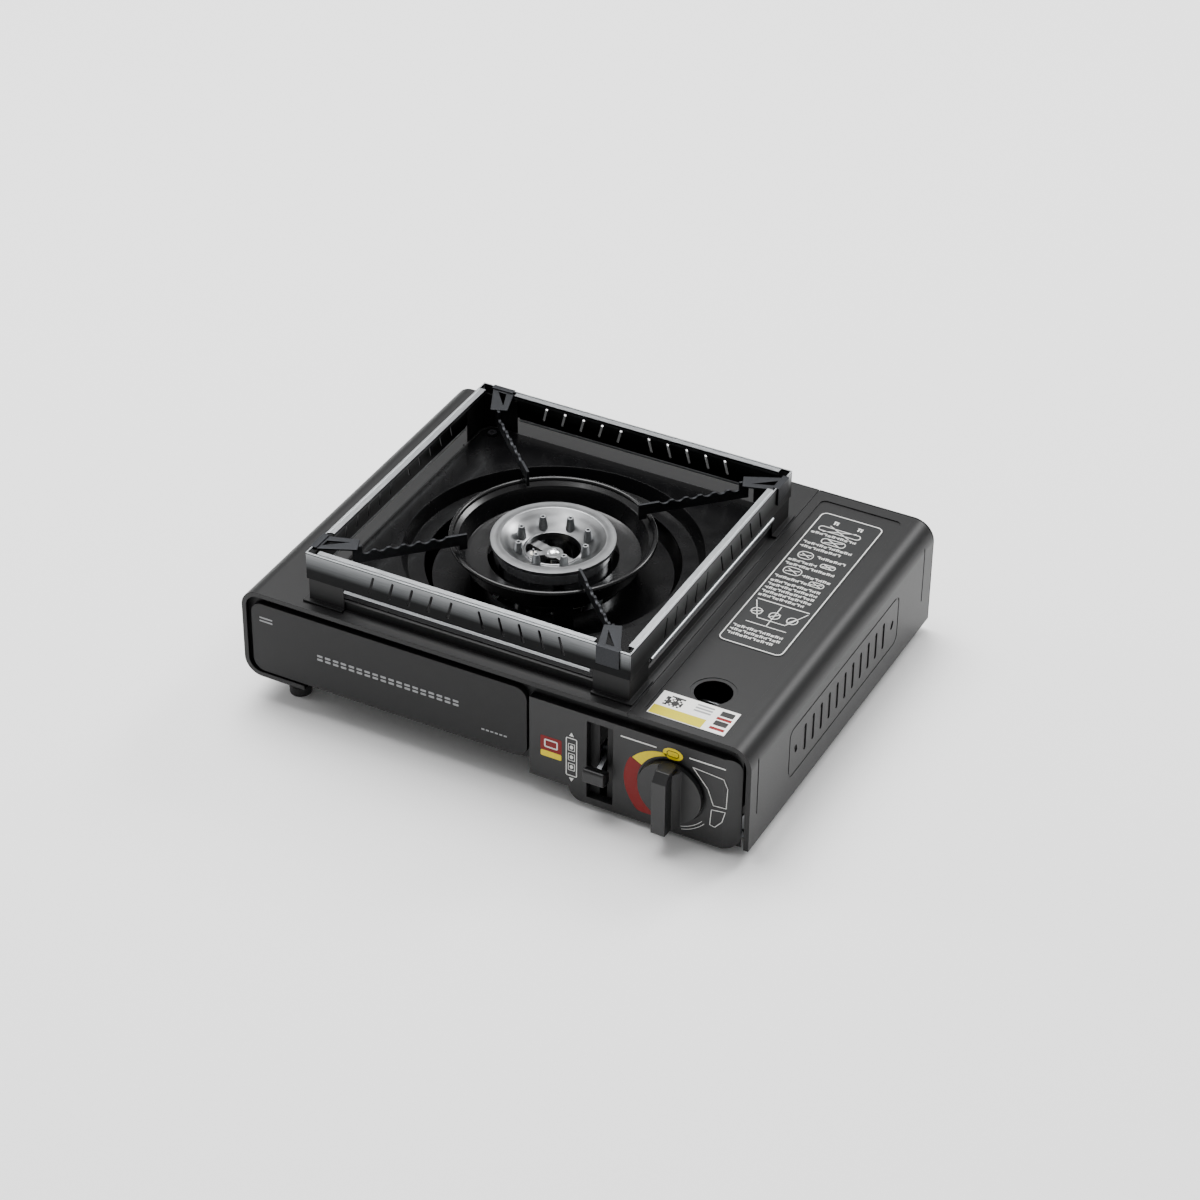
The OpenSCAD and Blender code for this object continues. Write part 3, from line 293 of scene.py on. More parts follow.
def steel_with_painted_light(name, code, along):
    """Coated steel wind shield: grey brushed faces with painted light by height: painted shade on
    the lower wall that brightens into a painted reflection towards the top, a painted highlight
    on the top rim over a painted shadow in its groove, and a painted highlight along the skirt
    bead."""
    made = drawn_steel(name, code, 0.3, along)
    tree = made.node_tree
    shader = next(n for n in tree.nodes if n.type == "BSDF_PRINCIPLED")
    place = next(n for n in tree.nodes if n.type == "TEX_COORD").outputs["Object"]
    low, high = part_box("support_wall_front")
    height = add(tree, "ShaderNodeSeparateXYZ", links={"Vector": place}).outputs["Z"]
    ramp = add(
        tree, "ShaderNodeMapRange", {"From Min": low.z, "From Max": high.z}, {"Value": height}
    ).outputs["Result"]
    # Painted light by height, from the bottom up: a painted highlight on the skirt bead, painted
    # shade over the lower wall, a painted reflection that brightens towards the top, a painted
    # shadow in the groove under the rim and a painted highlight on the top edge. It multiplies
    # the brushed colour.
    painted_light_bands = add(tree, "ShaderNodeValToRGB", links={"Fac": ramp})
    painted_light_stops = painted_light_bands.color_ramp
    painted_light_stops.elements[0].color = linear("#ffffff")
    painted_light_stops.elements[1].color = linear("#ffffff")
    size = high.z - low.z
    for at, tint in (
        (1.9 * MM / size, "#ffffff"), (2.2 * MM / size, "#242424"), (0.42, "#242424"),
        (0.76, "#888888"), (1 - 1.3 * MM / size, "#b4b4b4"), (1 - 1.1 * MM / size, "#141414"),
        (1 - 0.75 * MM / size, "#141414"), (1 - 0.5 * MM / size, "#ffffff"),
    ):
        painted_light_stops.elements.new(at).color = linear(tint)
    face = shader.inputs["Base Color"].links[0].from_socket
    painted_light_mix = add(
        tree, "ShaderNodeMix", {"Factor": 1.0}, data_type="RGBA", blend_type="MULTIPLY"
    )
    tree.links.new(face, painted_light_mix.inputs["A"])
    tree.links.new(painted_light_bands.outputs["Color"], painted_light_mix.inputs["B"])
    tree.links.new(painted_light_mix.outputs["Result"], shader.inputs["Base Color"])
    return made


def turned_metal(name, code, centre, rough=0.34, pitch=0.9):
    """Metal faced on a lathe: bright, with fine rings round its axis."""
    made, tree, shader, place = start_material(name, {"Metallic": 1.0})
    centred = add(
        tree, "ShaderNodeMapping", {"Location": (-centre[0], -centre[1], 0.0)}, {"Vector": place}
    ).outputs["Vector"]
    # Real tool marks are about 0.1 mm apart; drawn wider so that they show.
    rings = add(
        tree, "ShaderNodeTexWave",
        {"Scale": per_mm(pitch) / 20.0, "Distortion": 0.6, "Detail": 2.0},
        {"Vector": centred}, wave_type="RINGS", rings_direction="Z",
    ).outputs["Fac"]
    cloud = add(
        tree, "ShaderNodeTexNoise", {"Scale": per_mm(8), "Detail": 3.0}, {"Vector": place}
    ).outputs["Fac"]
    surface(
        tree, shader, (cloud, shaded(code, 0.88), shaded(code, 1.08)),
        (rings, rough - 0.05, rough + 0.06), (rings, 0.012 * MM, 0.35),
    )
    return made


def cast_metal(name, code, rough=0.5):
    """Sand- or die-cast metal: dull, with a pebbled skin."""
    made, tree, shader, place = start_material(name, {"Metallic": 1.0})
    skin = add(
        tree, "ShaderNodeTexNoise", {"Scale": per_mm(1.2), "Detail": 4.0}, {"Vector": place}
    ).outputs["Fac"]
    surface(
        tree, shader, (skin, shaded(code, 0.75), shaded(code, 1.1)),
        (skin, rough - 0.1, rough + 0.12), (skin, 0.08 * MM, 0.5),
    )
    return made


def soft_rubber(name, code):
    """Moulded rubber: matt, dusty black."""
    made, tree, shader, place = start_material(name, {"Metallic": 0.0, "IOR": 1.52})
    dust = add(
        tree, "ShaderNodeTexNoise", {"Scale": per_mm(2.5), "Detail": 5.0}, {"Vector": place}
    ).outputs["Fac"]
    surface(
        tree, shader, (dust, shaded(code, 0.7), shaded(code, 1.5)),
        (dust, 0.7, 0.9), (dust, 0.05 * MM, 0.5),
    )
    return made


def printed_ink(name, code, rough=0.45):
    """Screen ink: flat and even, with a faint mesh from the screen."""
    made, tree, shader, place = start_material(
        name, {"Metallic": 0.0, "IOR": 1.48, "Specular IOR Level": 0.3}
    )
    mesh = add(
        tree, "ShaderNodeTexNoise", {"Scale": per_mm(0.6), "Detail": 2.0}, {"Vector": place}
    ).outputs["Fac"]
    surface(
        tree, shader, (mesh, shaded(code, 0.9), shaded(code, 1.04)),
        (mesh, rough - 0.05, rough + 0.1), (mesh, 0.01 * MM, 0.4),
    )
    return made


def fired_ceramic(name, code):
    """Glazed ceramic: cream, glossy, faintly mottled."""
    made, tree, shader, place = start_material(
        name, {"Metallic": 0.0, "IOR": 1.6, "Coat Weight": 0.6, "Coat Roughness": 0.1}
    )
    mottle = add(
        tree, "ShaderNodeTexNoise", {"Scale": per_mm(1.5), "Detail": 3.0}, {"Vector": place}
    ).outputs["Fac"]
    surface(
        tree, shader, (mottle, shaded(code, 0.9), shaded(code, 1.03)),
        (mottle, 0.2, 0.32), (mottle, 0.02 * MM, 0.4),
    )
    return made


made_materials = {}


def finish(name):
    """The stove's material of that name, made once."""
    if name not in made_materials:
        tint = colours()
        low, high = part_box("burner_ring")
        burner = (low + high) / 2
        recipe = {
            "casing_paint": lambda n: stoved_paint(n, tint.paint),
            "plate_paint": lambda n: stoved_paint(n, shaded(tint.paint, 0.85), 0.5),
            "dish_enamel": lambda n: glass_enamel(n, tint.enamel),
            "pan_enamel": lambda n: glass_enamel(n, tint.enamel, 0.14),
            "panel_abs": lambda n: moulded_abs(n, tint.plastic),
            "knob_abs": lambda n: moulded_abs(n, shaded(tint.plastic, 0.95), 0.42),
            "shield_painted_light_steel_along": lambda n: steel_with_painted_light(n, tint.shield, (1.0, 14.0, 14.0)),
            "shield_painted_light_steel_across": lambda n: steel_with_painted_light(n, tint.shield, (14.0, 1.0, 14.0)),
            "arm_steel": lambda n: cast_metal(n, "#343537", 0.46),
            "plated_steel": lambda n: drawn_steel(n, "#9ea1a4", 0.3),
            "bright_screw": lambda n: turned_metal(n, "#dcdee0", burner, 0.22, 0.5),
            "dark_screw": lambda n: cast_metal(n, "#2c2c2e", 0.5),
            "polished_steel": lambda n: drawn_steel(n, "#d2d4d6", 0.13, (14.0, 14.0, 1.0)),
            "satin_black": lambda n: stoved_paint(n, "#0c0c0d", 0.5),
            "burner_aluminium": lambda n: turned_metal(n, "#7d7e7f", burner, 0.33),
            "cast_aluminium": lambda n: cast_metal(n, "#a9acae"),
            "nozzle_steel": lambda n: cast_metal(n, "#8b8d8f", 0.42),
            "brass": lambda n: turned_metal(n, "#c9a25a", burner, 0.3),
            "foot_rubber": lambda n: soft_rubber(n, "#19191a"),
            "seal_rubber": lambda n: soft_rubber(n, "#26211f"),
            "pale_abs": lambda n: moulded_abs(n, "#e2ddcd"),
            "ceramic": lambda n: fired_ceramic(n, "#ece7da"),
            "black_wire": lambda n: moulded_abs(n, "#161616", 0.4),
            "label_film": lambda n: printed_ink(n, "#151617", 0.4),
            "sticker_film": lambda n: printed_ink(n, "#ecebe8", 0.35),
            "white_ink": lambda n: printed_ink(n, tint.white),
            "grey_ink": lambda n: printed_ink(n, "#8f9092"),
            "yellow_ink": lambda n: printed_ink(n, tint.yellow),
            "lemon_ink": lambda n: printed_ink(n, "#c4b600"),
            "red_ink": lambda n: printed_ink(n, tint.red),
            "black_ink": lambda n: printed_ink(n, "#1b1a1a"),
        }
        made_materials[name] = recipe[name](name)
    return made_materials[name]


# ---------------------------------------------------------------- shapes

NODE_BODY = {
    node: body for body, nodes in frame["record"]["behaviour"]["bodies"].items() for node in nodes
}


def make_piece(bm, name, material, body, smooth=True):
    """Turns a bmesh into a piece that rides on a body."""
    mesh = bpy.data.meshes.new(name)
    for face in bm.faces:
        face.smooth = smooth
    bm.to_mesh(mesh)
    bm.free()
    piece = bpy.data.objects.new(name, mesh)
    bpy.context.scene.collection.objects.link(piece)
    mesh.materials.append(material)
    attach(piece, body)
    return piece


def even_normals(piece):
    """Keeps big flats flat next to rounded edges."""
    even = piece.modifiers.new("even_normals", "WEIGHTED_NORMAL")
    even.keep_sharp = True
    return piece


def soften(node, material, by, angle=34, segments=2, flats=True):
    """A merged copy of a CAD node with its hard edges rounded; it replaces the node."""
    bm = bmesh.new()
    bm.from_mesh(frame["nodes"][node].data)
    bmesh.ops.remove_doubles(bm, verts=bm.verts, dist=MERGE)
    if flats:
        bmesh.ops.dissolve_limit(
            bm, angle_limit=math.radians(0.6), verts=bm.verts, edges=bm.edges,
            use_dissolve_boundaries=False,
        )
    limit = math.radians(angle)
    hard = [e for e in bm.edges if e.is_manifold and e.calc_face_angle(0) > limit]
    if by > 0:
        bmesh.ops.bevel(
            bm, geom=hard, offset=by, offset_type="OFFSET", segments=segments,
            profile=0.5, affect="EDGES", clamp_overlap=True, material=-1,
        )
    for edge in bm.edges:
        edge.smooth = not (edge.is_manifold and edge.calc_face_angle(0) > math.radians(50))
    piece = make_piece(bm, node + "_finished", material, NODE_BODY[node])
    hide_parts(node)
    return even_normals(piece)


def outside(node):
    """A round node's outside radius and its height, in millimetres."""
    low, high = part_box(node)
    return (high.x - low.x) / 2 / MM, (high.z - low.z) / MM


def turned(node, material, profile, by):
    """A turned part drawn again from its section, as (radius, height above the node's
    lowest point) in millimetres, with its corners rounded; it replaces the node."""
    low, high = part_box(node)
    axis = Vector(((low.x + high.x) / 2, (low.y + high.y) / 2, low.z))
    bm = bmesh.new()
    ring = [bm.verts.new(axis + Vector((r * MM, 0, z * MM))) for r, z in profile]
    section = [bm.edges.new(pair) for pair in zip(ring, ring[1:] + ring[:1])]
    bmesh.ops.spin(
        bm, geom=ring + section, cent=axis, axis=(0, 0, 1), angle=math.tau, steps=144,
        use_merge=True, use_duplicate=False,
    )
    bmesh.ops.remove_doubles(bm, verts=bm.verts, dist=MERGE)
    bmesh.ops.recalc_face_normals(bm, faces=bm.faces[:])
    hard = [e for e in bm.edges if e.is_manifold and e.calc_face_angle(0) > math.radians(30)]
    bmesh.ops.bevel(
        bm, geom=hard, offset=by, offset_type="OFFSET", segments=3, profile=0.5,
        affect="EDGES", clamp_overlap=True, material=-1,
    )
    piece = make_piece(bm, node + "_turned", material, NODE_BODY[node])
    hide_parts(node)
    return even_normals(piece)


def dress(node, material):
    """Gives a CAD node a material and leaves its shape alone."""
    thing = frame["nodes"][node]
    if not thing.material_slots:
        thing.data.materials.append(material)
    for place in thing.material_slots:
        place.material = material
    return thing


def bar(bm, x, y, w, h, turn=0.0, corner=0.0):
    """A flat rectangle centred at x, y; returns its verts."""
    new = bmesh.ops.create_grid(bm, x_segments=1, y_segments=1, size=0.5)["verts"]
    bmesh.ops.scale(bm, vec=(w, h, 1.0), verts=new)
    if corner:
        cut = bmesh.ops.bevel(
            bm, geom=new, offset=corner, segments=5, profile=0.5, affect="VERTICES", material=-1
        )
        new = list({v for f in cut["faces"] for v in f.verts} | set(cut["verts"]))
    bmesh.ops.rotate(bm, cent=(0, 0, 0), matrix=Matrix.Rotation(turn, 3, "Z"), verts=new)
    bmesh.ops.translate(bm, vec=(x, y, 0), verts=new)
    return new


def outline(bm, x, y, w, h, line, corner=0.0):
    """A rounded rectangle drawn as a line."""
    verts = bar(bm, x, y, w, h, 0.0, corner)
    faces = list({f for v in verts for f in v.link_faces})
    bmesh.ops.inset_region(
        bm, faces=faces, thickness=line, use_boundary=True, use_even_offset=True
    )
    bmesh.ops.delete(bm, geom=faces, context="FACES")


def arc(bm, x, y, start, end, inner, outer, steps=24):
    """A curved band from start to end degrees; inner and outer radii are (first, last)."""
    new = bmesh.ops.create_grid(bm, x_segments=steps, y_segments=1, size=0.5)["verts"]
    for vert in new:
        t = vert.co.x + 0.5
        first, last = outer if vert.co.y > 0 else inner
        radius = first + (last - first) * t
        angle = math.radians(start + (end - start) * t)
        vert.co.x = x + radius * math.cos(angle)
        vert.co.y = y + radius * math.sin(angle)


def disc(bm, x, y, rx, ry=None, segments=32):
    """A flat disc or oval."""
    new = bmesh.ops.create_circle(bm, cap_ends=True, segments=segments, radius=1.0)["verts"]
    bmesh.ops.scale(bm, vec=(rx, ry or rx, 1.0), verts=new)
    bmesh.ops.translate(bm, vec=(x, y, 0), verts=new)


def triangle(bm, x, y, size, turn=0.0):
    """A flat triangle that points up, or is turned."""
    new = bmesh.ops.create_circle(bm, cap_ends=True, segments=3, radius=size)["verts"]
    bmesh.ops.rotate(bm, cent=(0, 0, 0), matrix=Matrix.Rotation(turn, 3, "Z"), verts=new)
    bmesh.ops.translate(bm, vec=(x, y, 0), verts=new)


def stroke(bm, points, line):
    """A flat line through points, with square joints."""
    for a, b in zip(points, points[1:]):
        step = Vector(b) - Vector(a)
        mid = (Vector(a) + Vector(b)) / 2
        bar(bm, mid.x, mid.y, step.length + line, line, math.atan2(step.y, step.x))


def print_on(bm, name, ink, place, body):
    """Gives flat marks the ink's height and lays them on a surface."""
    tops = bmesh.ops.extrude_face_region(bm, geom=bm.faces[:])["geom"]
    raised = [v for v in tops if isinstance(v, bmesh.types.BMVert)]
    bmesh.ops.translate(bm, vec=(0, 0, sizes().ink), verts=raised)
    bmesh.ops.recalc_face_normals(bm, faces=bm.faces[:])
    bmesh.ops.transform(bm, matrix=place, verts=bm.verts[:])
    return make_piece(bm, name, finish(ink), body, smooth=False)


# ---------------------------------------------------------------- operators


class STOVE_OT_casing(bpy.types.Operator):
    """Paints the casing's sheets and rounds their edges"""

    bl_idname = "stove.casing"
    bl_label = "Casing"

    def execute(self, context):
        edge = sizes().sheet_round
        for node in ("top_shell", "rear_panel", "base_tray"):
            soften(node, finish("casing_paint"), edge)
        soften("front_plate", finish("plate_paint"), edge * 2)
        soften("front_frame", finish("plate_paint"), edge)
        soften("bay_partition", finish("plated_steel"), edge)
        soften("casing_screws", finish("dark_screw"), edge)
        soften("feet", finish("foot_rubber"), sizes().mould_round)
        return {"FINISHED"}


class STOVE_OT_front_mark(bpy.types.Operator):
    """Prints a plain double line on the front plate"""

    bl_idname = "stove.front_mark"
    bl_label = "Front plate mark"

    def execute(self, context):
        low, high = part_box("front_plate")
        mid_x, mid_z = (low.x + high.x) / 2, (low.z + high.z) / 2
        bm = bmesh.new()
        dashes, pitch, drop = 18, 5.5 * MM, 2.6 * MM
        for i in range(dashes):
            x = (i - (dashes - 1) / 2) * pitch
            bar(bm, x, 0, 3.8 * MM, 1.5 * MM, 0, 0.4 * MM)
            bar(bm, x, -drop, 3.8 * MM, 1.5 * MM, 0, 0.4 * MM)
        # A short dashed line at the lower right and two bars at the upper left.
        for i in range(6):
            bar(bm, (65 + i * 3) * MM, -14 * MM, 2.0 * MM, 1.1 * MM)
        for i in (0, 1):
            bar(bm, -84 * MM, (15 - i * 2.4) * MM, 9 * MM, 1.0 * MM)
        place = Matrix.Translation((mid_x, low.y, mid_z)) @ Matrix.Rotation(math.pi / 2, 4, "X")
        print_on(bm, "front_plate_mark", "grey_ink", place, "casing")
        return {"FINISHED"}


class STOVE_OT_control_panel(bpy.types.Operator):
    """Moulds the control panel and prints its marks"""

    bl_idname = "stove.control_panel"
    bl_label = "Control panel"

    def execute(self, context):
        soften("control_panel", finish("panel_abs"), sizes().mould_round * 0.6, 18)
        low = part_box("control_panel")[0]
        shaft_low, shaft_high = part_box("valve_shaft")
        kx, kz = (shaft_low.x + shaft_high.x) / 2, (shaft_low.z + shaft_high.z) / 2
        knob_low, knob_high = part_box("knob_cap")
        r = (knob_high.x - knob_low.x) / 2
        line = sizes().line
        block_x = low.x + 14.5 * MM
        upright = Matrix.Rotation(math.pi / 2, 4, "X")
        place = Matrix.Translation((0, low.y, 0)) @ upright

        white = bmesh.new()
        top = low.z + 58 * MM
        bar(white, kx - 22 * MM, top, 23 * MM, line)
        bar(white, kx + 22 * MM, top, 23 * MM, line)
        # Scale beside the lever: a tall frame with three boxes and an arrow at each end.
        sx, sz = low.x + 28 * MM, low.z + 30.5 * MM
        outline(white, sx, sz, 7.4 * MM, 28 * MM, line * 0.7, 1.0 * MM)
        for i in (-1, 0, 1):
            outline(white, sx, sz + i * 7.2 * MM, 4.4 * MM, 5.4 * MM, line * 0.45, 0.5 * MM)
            disc(white, sx, sz + i * 7.2 * MM, 1.1 * MM, 1.4 * MM, 16)
        triangle(white, sx, sz + 16.2 * MM, 1.8 * MM)
        triangle(white, sx, sz - 16.2 * MM, 1.8 * MM, math.pi)
        # Plain boxes to the right of the knob.
        for corners in (
            ((12.9, 21.2), (32.6, 19.5), (35.2, 13.4), (34.7, -0.9), (26.5, -1.6), (22.8, 9.0)),
            ((25.4, -5.0), (34.2, -3.8), (32.3, -11.6), (27.8, -17.0), (24.6, -16.2)),
        ):
            ring = [(kx + x * MM, kz + z * MM) for x, z in corners]
            stroke(white, ring + ring[:1], line * 0.5)
        for out in (25.0, 27.0):
            first = (out * MM,) * 2
            arc(white, kx, kz, 284, 321, first, (out * MM + line * 0.35,) * 2, 16)
        print_on(white, "panel_marks_white", "white_ink", place, "casing")

        yellow = bmesh.new()
        arc(yellow, kx, kz, 99, 151, (r * 1.13, r * 1.1), (r * 1.22, r * 1.45), 18)
        disc(yellow, kx, top - 1.2 * MM, 6.4 * MM, 4.0 * MM)
        bar(yellow, block_x, low.z + 27.3 * MM, 13.6 * MM, 4.2 * MM, 0, 0.8 * MM)
        print_on(yellow, "panel_marks_yellow", "yellow_ink", place, "casing")

        red = bmesh.new()
        arc(red, kx, kz, 152, 226, (r * 1.1, r * 1.1), (r * 1.5, r * 1.56), 22)
        arc(red, kx, kz, 226, 246, (r * 1.1, r * 1.14), (r * 1.56, r * 1.22), 8)
        bar(red, block_x, low.z + 34.8 * MM, 14.0 * MM, 10.4 * MM, 0, 0.8 * MM)
        print_on(red, "panel_marks_red", "red_ink", place, "casing")

        # A plain frame in the red block and a ring in the oval.
        over = Matrix.Translation((0, low.y - sizes().ink, 0)) @ upright
        small = bmesh.new()
        outline(small, block_x, low.z + 35 * MM, 9 * MM, 6 * MM, line, 1 * MM)
        print_on(small, "panel_marks_over", "white_ink", over, "casing")
        dark = bmesh.new()
        outline(dark, kx, top - 1.2 * MM, 8 * MM, 4.4 * MM, line * 0.5, 2.1 * MM)
        print_on(dark, "panel_marks_ring", "black_ink", over, "casing")
        return {"FINISHED"}


class STOVE_OT_lid(bpy.types.Operator):
    """Paints the lid and prints its label and sticker"""

    bl_idname = "stove.lid"
    bl_label = "Lid"

    def execute(self, context):
        soften("lid_shell", finish("casing_paint"), sizes().sheet_round)
        soften("lid_hinge_ears", finish("plated_steel"), sizes().sheet_round)
        soften("lid_label", finish("label_film"), 0.1 * MM)
        soften("lid_sticker", finish("sticker_film"), 0.1 * MM)
        self.label()
        self.sticker()
        return {"FINISHED"}

    def label(self):
        low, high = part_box("lid_label")
        cx, cy = (low.x + high.x) / 2, (low.y + high.y) / 2
        w, h = high.x - low.x, high.y - low.y
        place = Matrix.Translation((cx, cy, high.z))
        line = sizes().line * 0.75
        pitch = 2.75 * MM
        bm = bmesh.new()
        outline(bm, 0, 0, w - 1.6 * MM, h - 1.6 * MM, line, 4.2 * MM)
        for x in (-8 * MM, 8 * MM):
            self.sign(bm, x, h * 0.44, 3.4 * MM, 1)
        # Rows of made-up signs (first and last place as a share of the width, and height).
        for row, (start, end, y) in enumerate((
            (-0.40, 0.34, 0.345), (-0.40, 0.40, 0.265), (-0.40, 0.26, 0.235),
            (-0.05, 0.40, 0.185), (-0.40, 0.10, 0.125), (-0.40, 0.40, 0.095),
            (-0.05, 0.40, 0.040), (-0.40, 0.20, -0.005), (-0.40, 0.40, -0.040),
            (-0.40, 0.40, -0.068), (-0.40, 0.40, -0.096), (-0.40, 0.40, -0.124),
            (-0.40, 0.34, -0.152), (-0.40, 0.40, -0.385), (-0.40, 0.40, -0.412),
            (-0.40, 0.34, -0.439),
        )):
            for i in range(int((end - start) * w / pitch)):
                self.sign(bm, start * w + i * pitch, y * h, 2.3 * MM, i * 5 + row * 3)
        # Simple pictures between the rows.
        for x, y, rx, ry in (
            (-0.05, 0.385, 14, 2.6), (-0.02, 0.305, 8, 3.0), (-0.24, 0.175, 5, 4.0),
            (-0.24, 0.050, 6, 4.0), (0.16, 0.140, 5, 2.2), (0.2, 0.005, 5, 2.6),
        ):
            outline(bm, x * w, y * h, 2 * rx * MM, 2 * ry * MM, line * 0.8, ry * 0.9 * MM)
            bar(bm, x * w, y * h, rx * 1.5 * MM, line * 0.8, 0.3)
            bar(bm, x * w, y * h, rx * 1.3 * MM, line * 0.8, -0.5)
        y = -0.275 * h
        stroke(bm, [(-0.38 * w, y + 14 * MM), (0.4 * w, y + 14 * MM)], line)
        stroke(
            bm, [(-0.38 * w, y + 12 * MM), (-0.2 * w, y - 4 * MM), (0.22 * w, y - 4 * MM),
                 (0.4 * w, y + 12 * MM)], line * 0.8,
        )
        for x in (-0.27, 0.0, 0.27):
            outline(bm, x * w, y + 2 * MM, 7 * MM, 7 * MM, line * 0.8, 3.3 * MM)
            bar(bm, x * w, y + 2 * MM, 8 * MM, line * 0.8, 0.7 + x)
        stroke(bm, [(0, y + 12 * MM), (0, y - 10 * MM)], line * 0.8)
        stroke(bm, [(-0.3 * w, y - 10 * MM), (0.3 * w, y - 10 * MM)], line * 0.8)
        print_on(bm, "label_marks", "white_ink", place, "canister_lid")

    def sign(self, bm, x, y, size, kind):
        """A made-up sign: two or three strokes on a square of the given size."""
        thin = size * 0.3
        bar(bm, x, y + size * (0.38 if kind % 2 else 0.1), size, thin)
        if kind % 3:
            bar(bm, x - size * 0.25, y - size * 0.1, thin, size * 0.8)
        if kind % 4:
            bar(bm, x + size * 0.3, y, thin, size)
        else:
            bar(bm, x, y - size * 0.38, size * 0.9, thin)

    def sticker(self):
        low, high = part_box("lid_sticker")
        cx, cy = (low.x + high.x) / 2, (low.y + high.y) / 2
        w, h = high.x - low.x, high.y - low.y
        place = Matrix.Translation((cx, cy, high.z))
        yellow = bmesh.new()
        bar(yellow, -w * 0.15, -h * 0.3, w * 0.68, h * 0.36)
        print_on(yellow, "sticker_yellow", "lemon_ink", place, "canister_lid")
        black = bmesh.new()
        # An irregular block of small squares that stands for nothing.
        cell_w, cell_h = 1.25 * MM, 1.35 * MM
        for i in range(9):
            for j in range(7):
                if (i * 5 + j * 7 + i * j * 3) % 11 < 7:
                    bar(black, -w * 0.4 + i * cell_w, j * cell_h, cell_w, cell_h)
        bar(black, w * 0.37, h * 0.3, w * 0.17, h * 0.2, 0, 0.6 * MM)
        bar(black, w * 0.37, -h * 0.1, w * 0.17, h * 0.2, 0, 0.6 * MM)
        print_on(black, "sticker_black", "black_ink", place, "canister_lid")
        red = bmesh.new()
        bar(red, w * 0.37, h * 0.09, w * 0.19, h * 0.1)
        bar(red, w * 0.37, -h * 0.33, w * 0.19, h * 0.1)
        print_on(red, "sticker_red", "red_ink", place, "canister_lid")
        grey = bmesh.new()
        for row in range(3):
            bar(grey, w * 0.08, h * 0.36 - row * h * 0.12, w * 0.22, h * 0.06)
        print_on(grey, "sticker_grey", "grey_ink", place, "canister_lid")


class STOVE_OT_burner(bpy.types.Operator):
    """Finishes the pan, the dish and the burner"""

    bl_idname = "stove.burner"
    bl_label = "Burner"

    def execute(self, context):
        edge = sizes().sheet_round
        soften("drip_pan", finish("pan_enamel"), edge, flats=False)
        soften("dish_brackets", finish("satin_black"), edge)
        self.dish()
        self.ring()
        soften("burner_cup", finish("polished_steel"), 0.0, flats=False)
        soften("burner_nozzles", finish("nozzle_steel"), 0.3 * MM)
        soften("burner_bridge", finish("burner_aluminium"), 0.3 * MM)
        soften("burner_screw", finish("bright_screw"), 0.2 * MM)
        dress("igniter_electrode", finish("plated_steel"))
        dress("electrode_insulator", finish("ceramic"))
        return {"FINISHED"}

    def dish(self):
        """The dish's section: sheet floor, sloping wall and a rolled bead."""
        r, top = outside("burner_dish")
        hole, sheet, roll = 40.0, 0.8, 1.6
        bead = [
            (r - roll + roll * math.cos(math.radians(a)),
             top - roll + roll * math.sin(math.radians(a)))
            for a in range(195, -76, -18)
        ]
        inner = [(hole, sheet), (r - 13, sheet), (r - 10, sheet + 1), (r - 6, top - 4)]
        outer = [(r - 5, top - 5), (r - 9, sheet / 2), (r - 13, 0.0), (hole, 0.0)]
        turned("burner_dish", finish("dish_enamel"), inner + bead + outer, 0.2 * MM)

    def ring(self):
        """The ring's section: flat rim, conical bowl and a short collar at the eye."""
        r, top = outside("burner_ring")
        rim, eye, plate, foot = r - 6.3, 16.8, 2.4, 4.0
        collar = eye + 1.5
        section = [
            (rim, top), (r, top), (r, top - plate), (rim, top - plate), (collar, foot - plate),
            (collar, 0.0), (eye, 0.0), (eye, foot + 0.8), (eye + 1.0, foot + 0.8),
            (eye + 1.6, foot),
        ]
        turned("burner_ring", finish("burner_aluminium"), section, 0.35 * MM)


class STOVE_OT_gas_parts(bpy.types.Operator):
    """Finishes the parts inside the casing and the bay"""

    bl_idname = "stove.gas_parts"
    bl_label = "Gas parts"

    def execute(self, context):
        inside = {
            "mixing_tube": "cast_aluminium", "gas_jet": "brass", "gas_pipe": "brass",
            "regulator_screws": "bright_screw", "socket_seal": "seal_rubber",
            "igniter_body": "pale_abs", "igniter_wire": "black_wire",
            "heat_plate": "cast_aluminium", "lever_pivot": "bright_screw",
            "hinge_pins": "bright_screw", "link_guides": "plated_steel",
        }
        for node, name in inside.items():
            dress(node, finish(name))
        edge = sizes().sheet_round
        soften("regulator_body", finish("cast_aluminium"), 0.8 * MM)
        soften("regulator_cap", finish("plated_steel"), 0.5 * MM)
        soften("cartridge_socket", finish("brass"), 0.4 * MM)
        for node in (
            "notch_guide", "cartridge_cradle", "lever_bracket", "hinge_brackets",
            "link_bar", "pusher_plate",
        ):
            soften(node, finish("plated_steel"), edge)
        return {"FINISHED"}


class STOVE_OT_controls(bpy.types.Operator):
    """Finishes the knob and the lever"""

    bl_idname = "stove.controls"
    bl_label = "Knob and lever"

    def execute(self, context):
        soften("knob_cap", finish("knob_abs"), sizes().mould_round, 25, 3)
        dress("valve_shaft", finish("brass"))
        soften("igniter_cam", finish("pale_abs"), 0.3 * MM)
        soften("lever_grip", finish("knob_abs"), sizes().mould_round, 25, 3)
        soften("lever_arm", finish("plated_steel"), sizes().sheet_round)
        return {"FINISHED"}


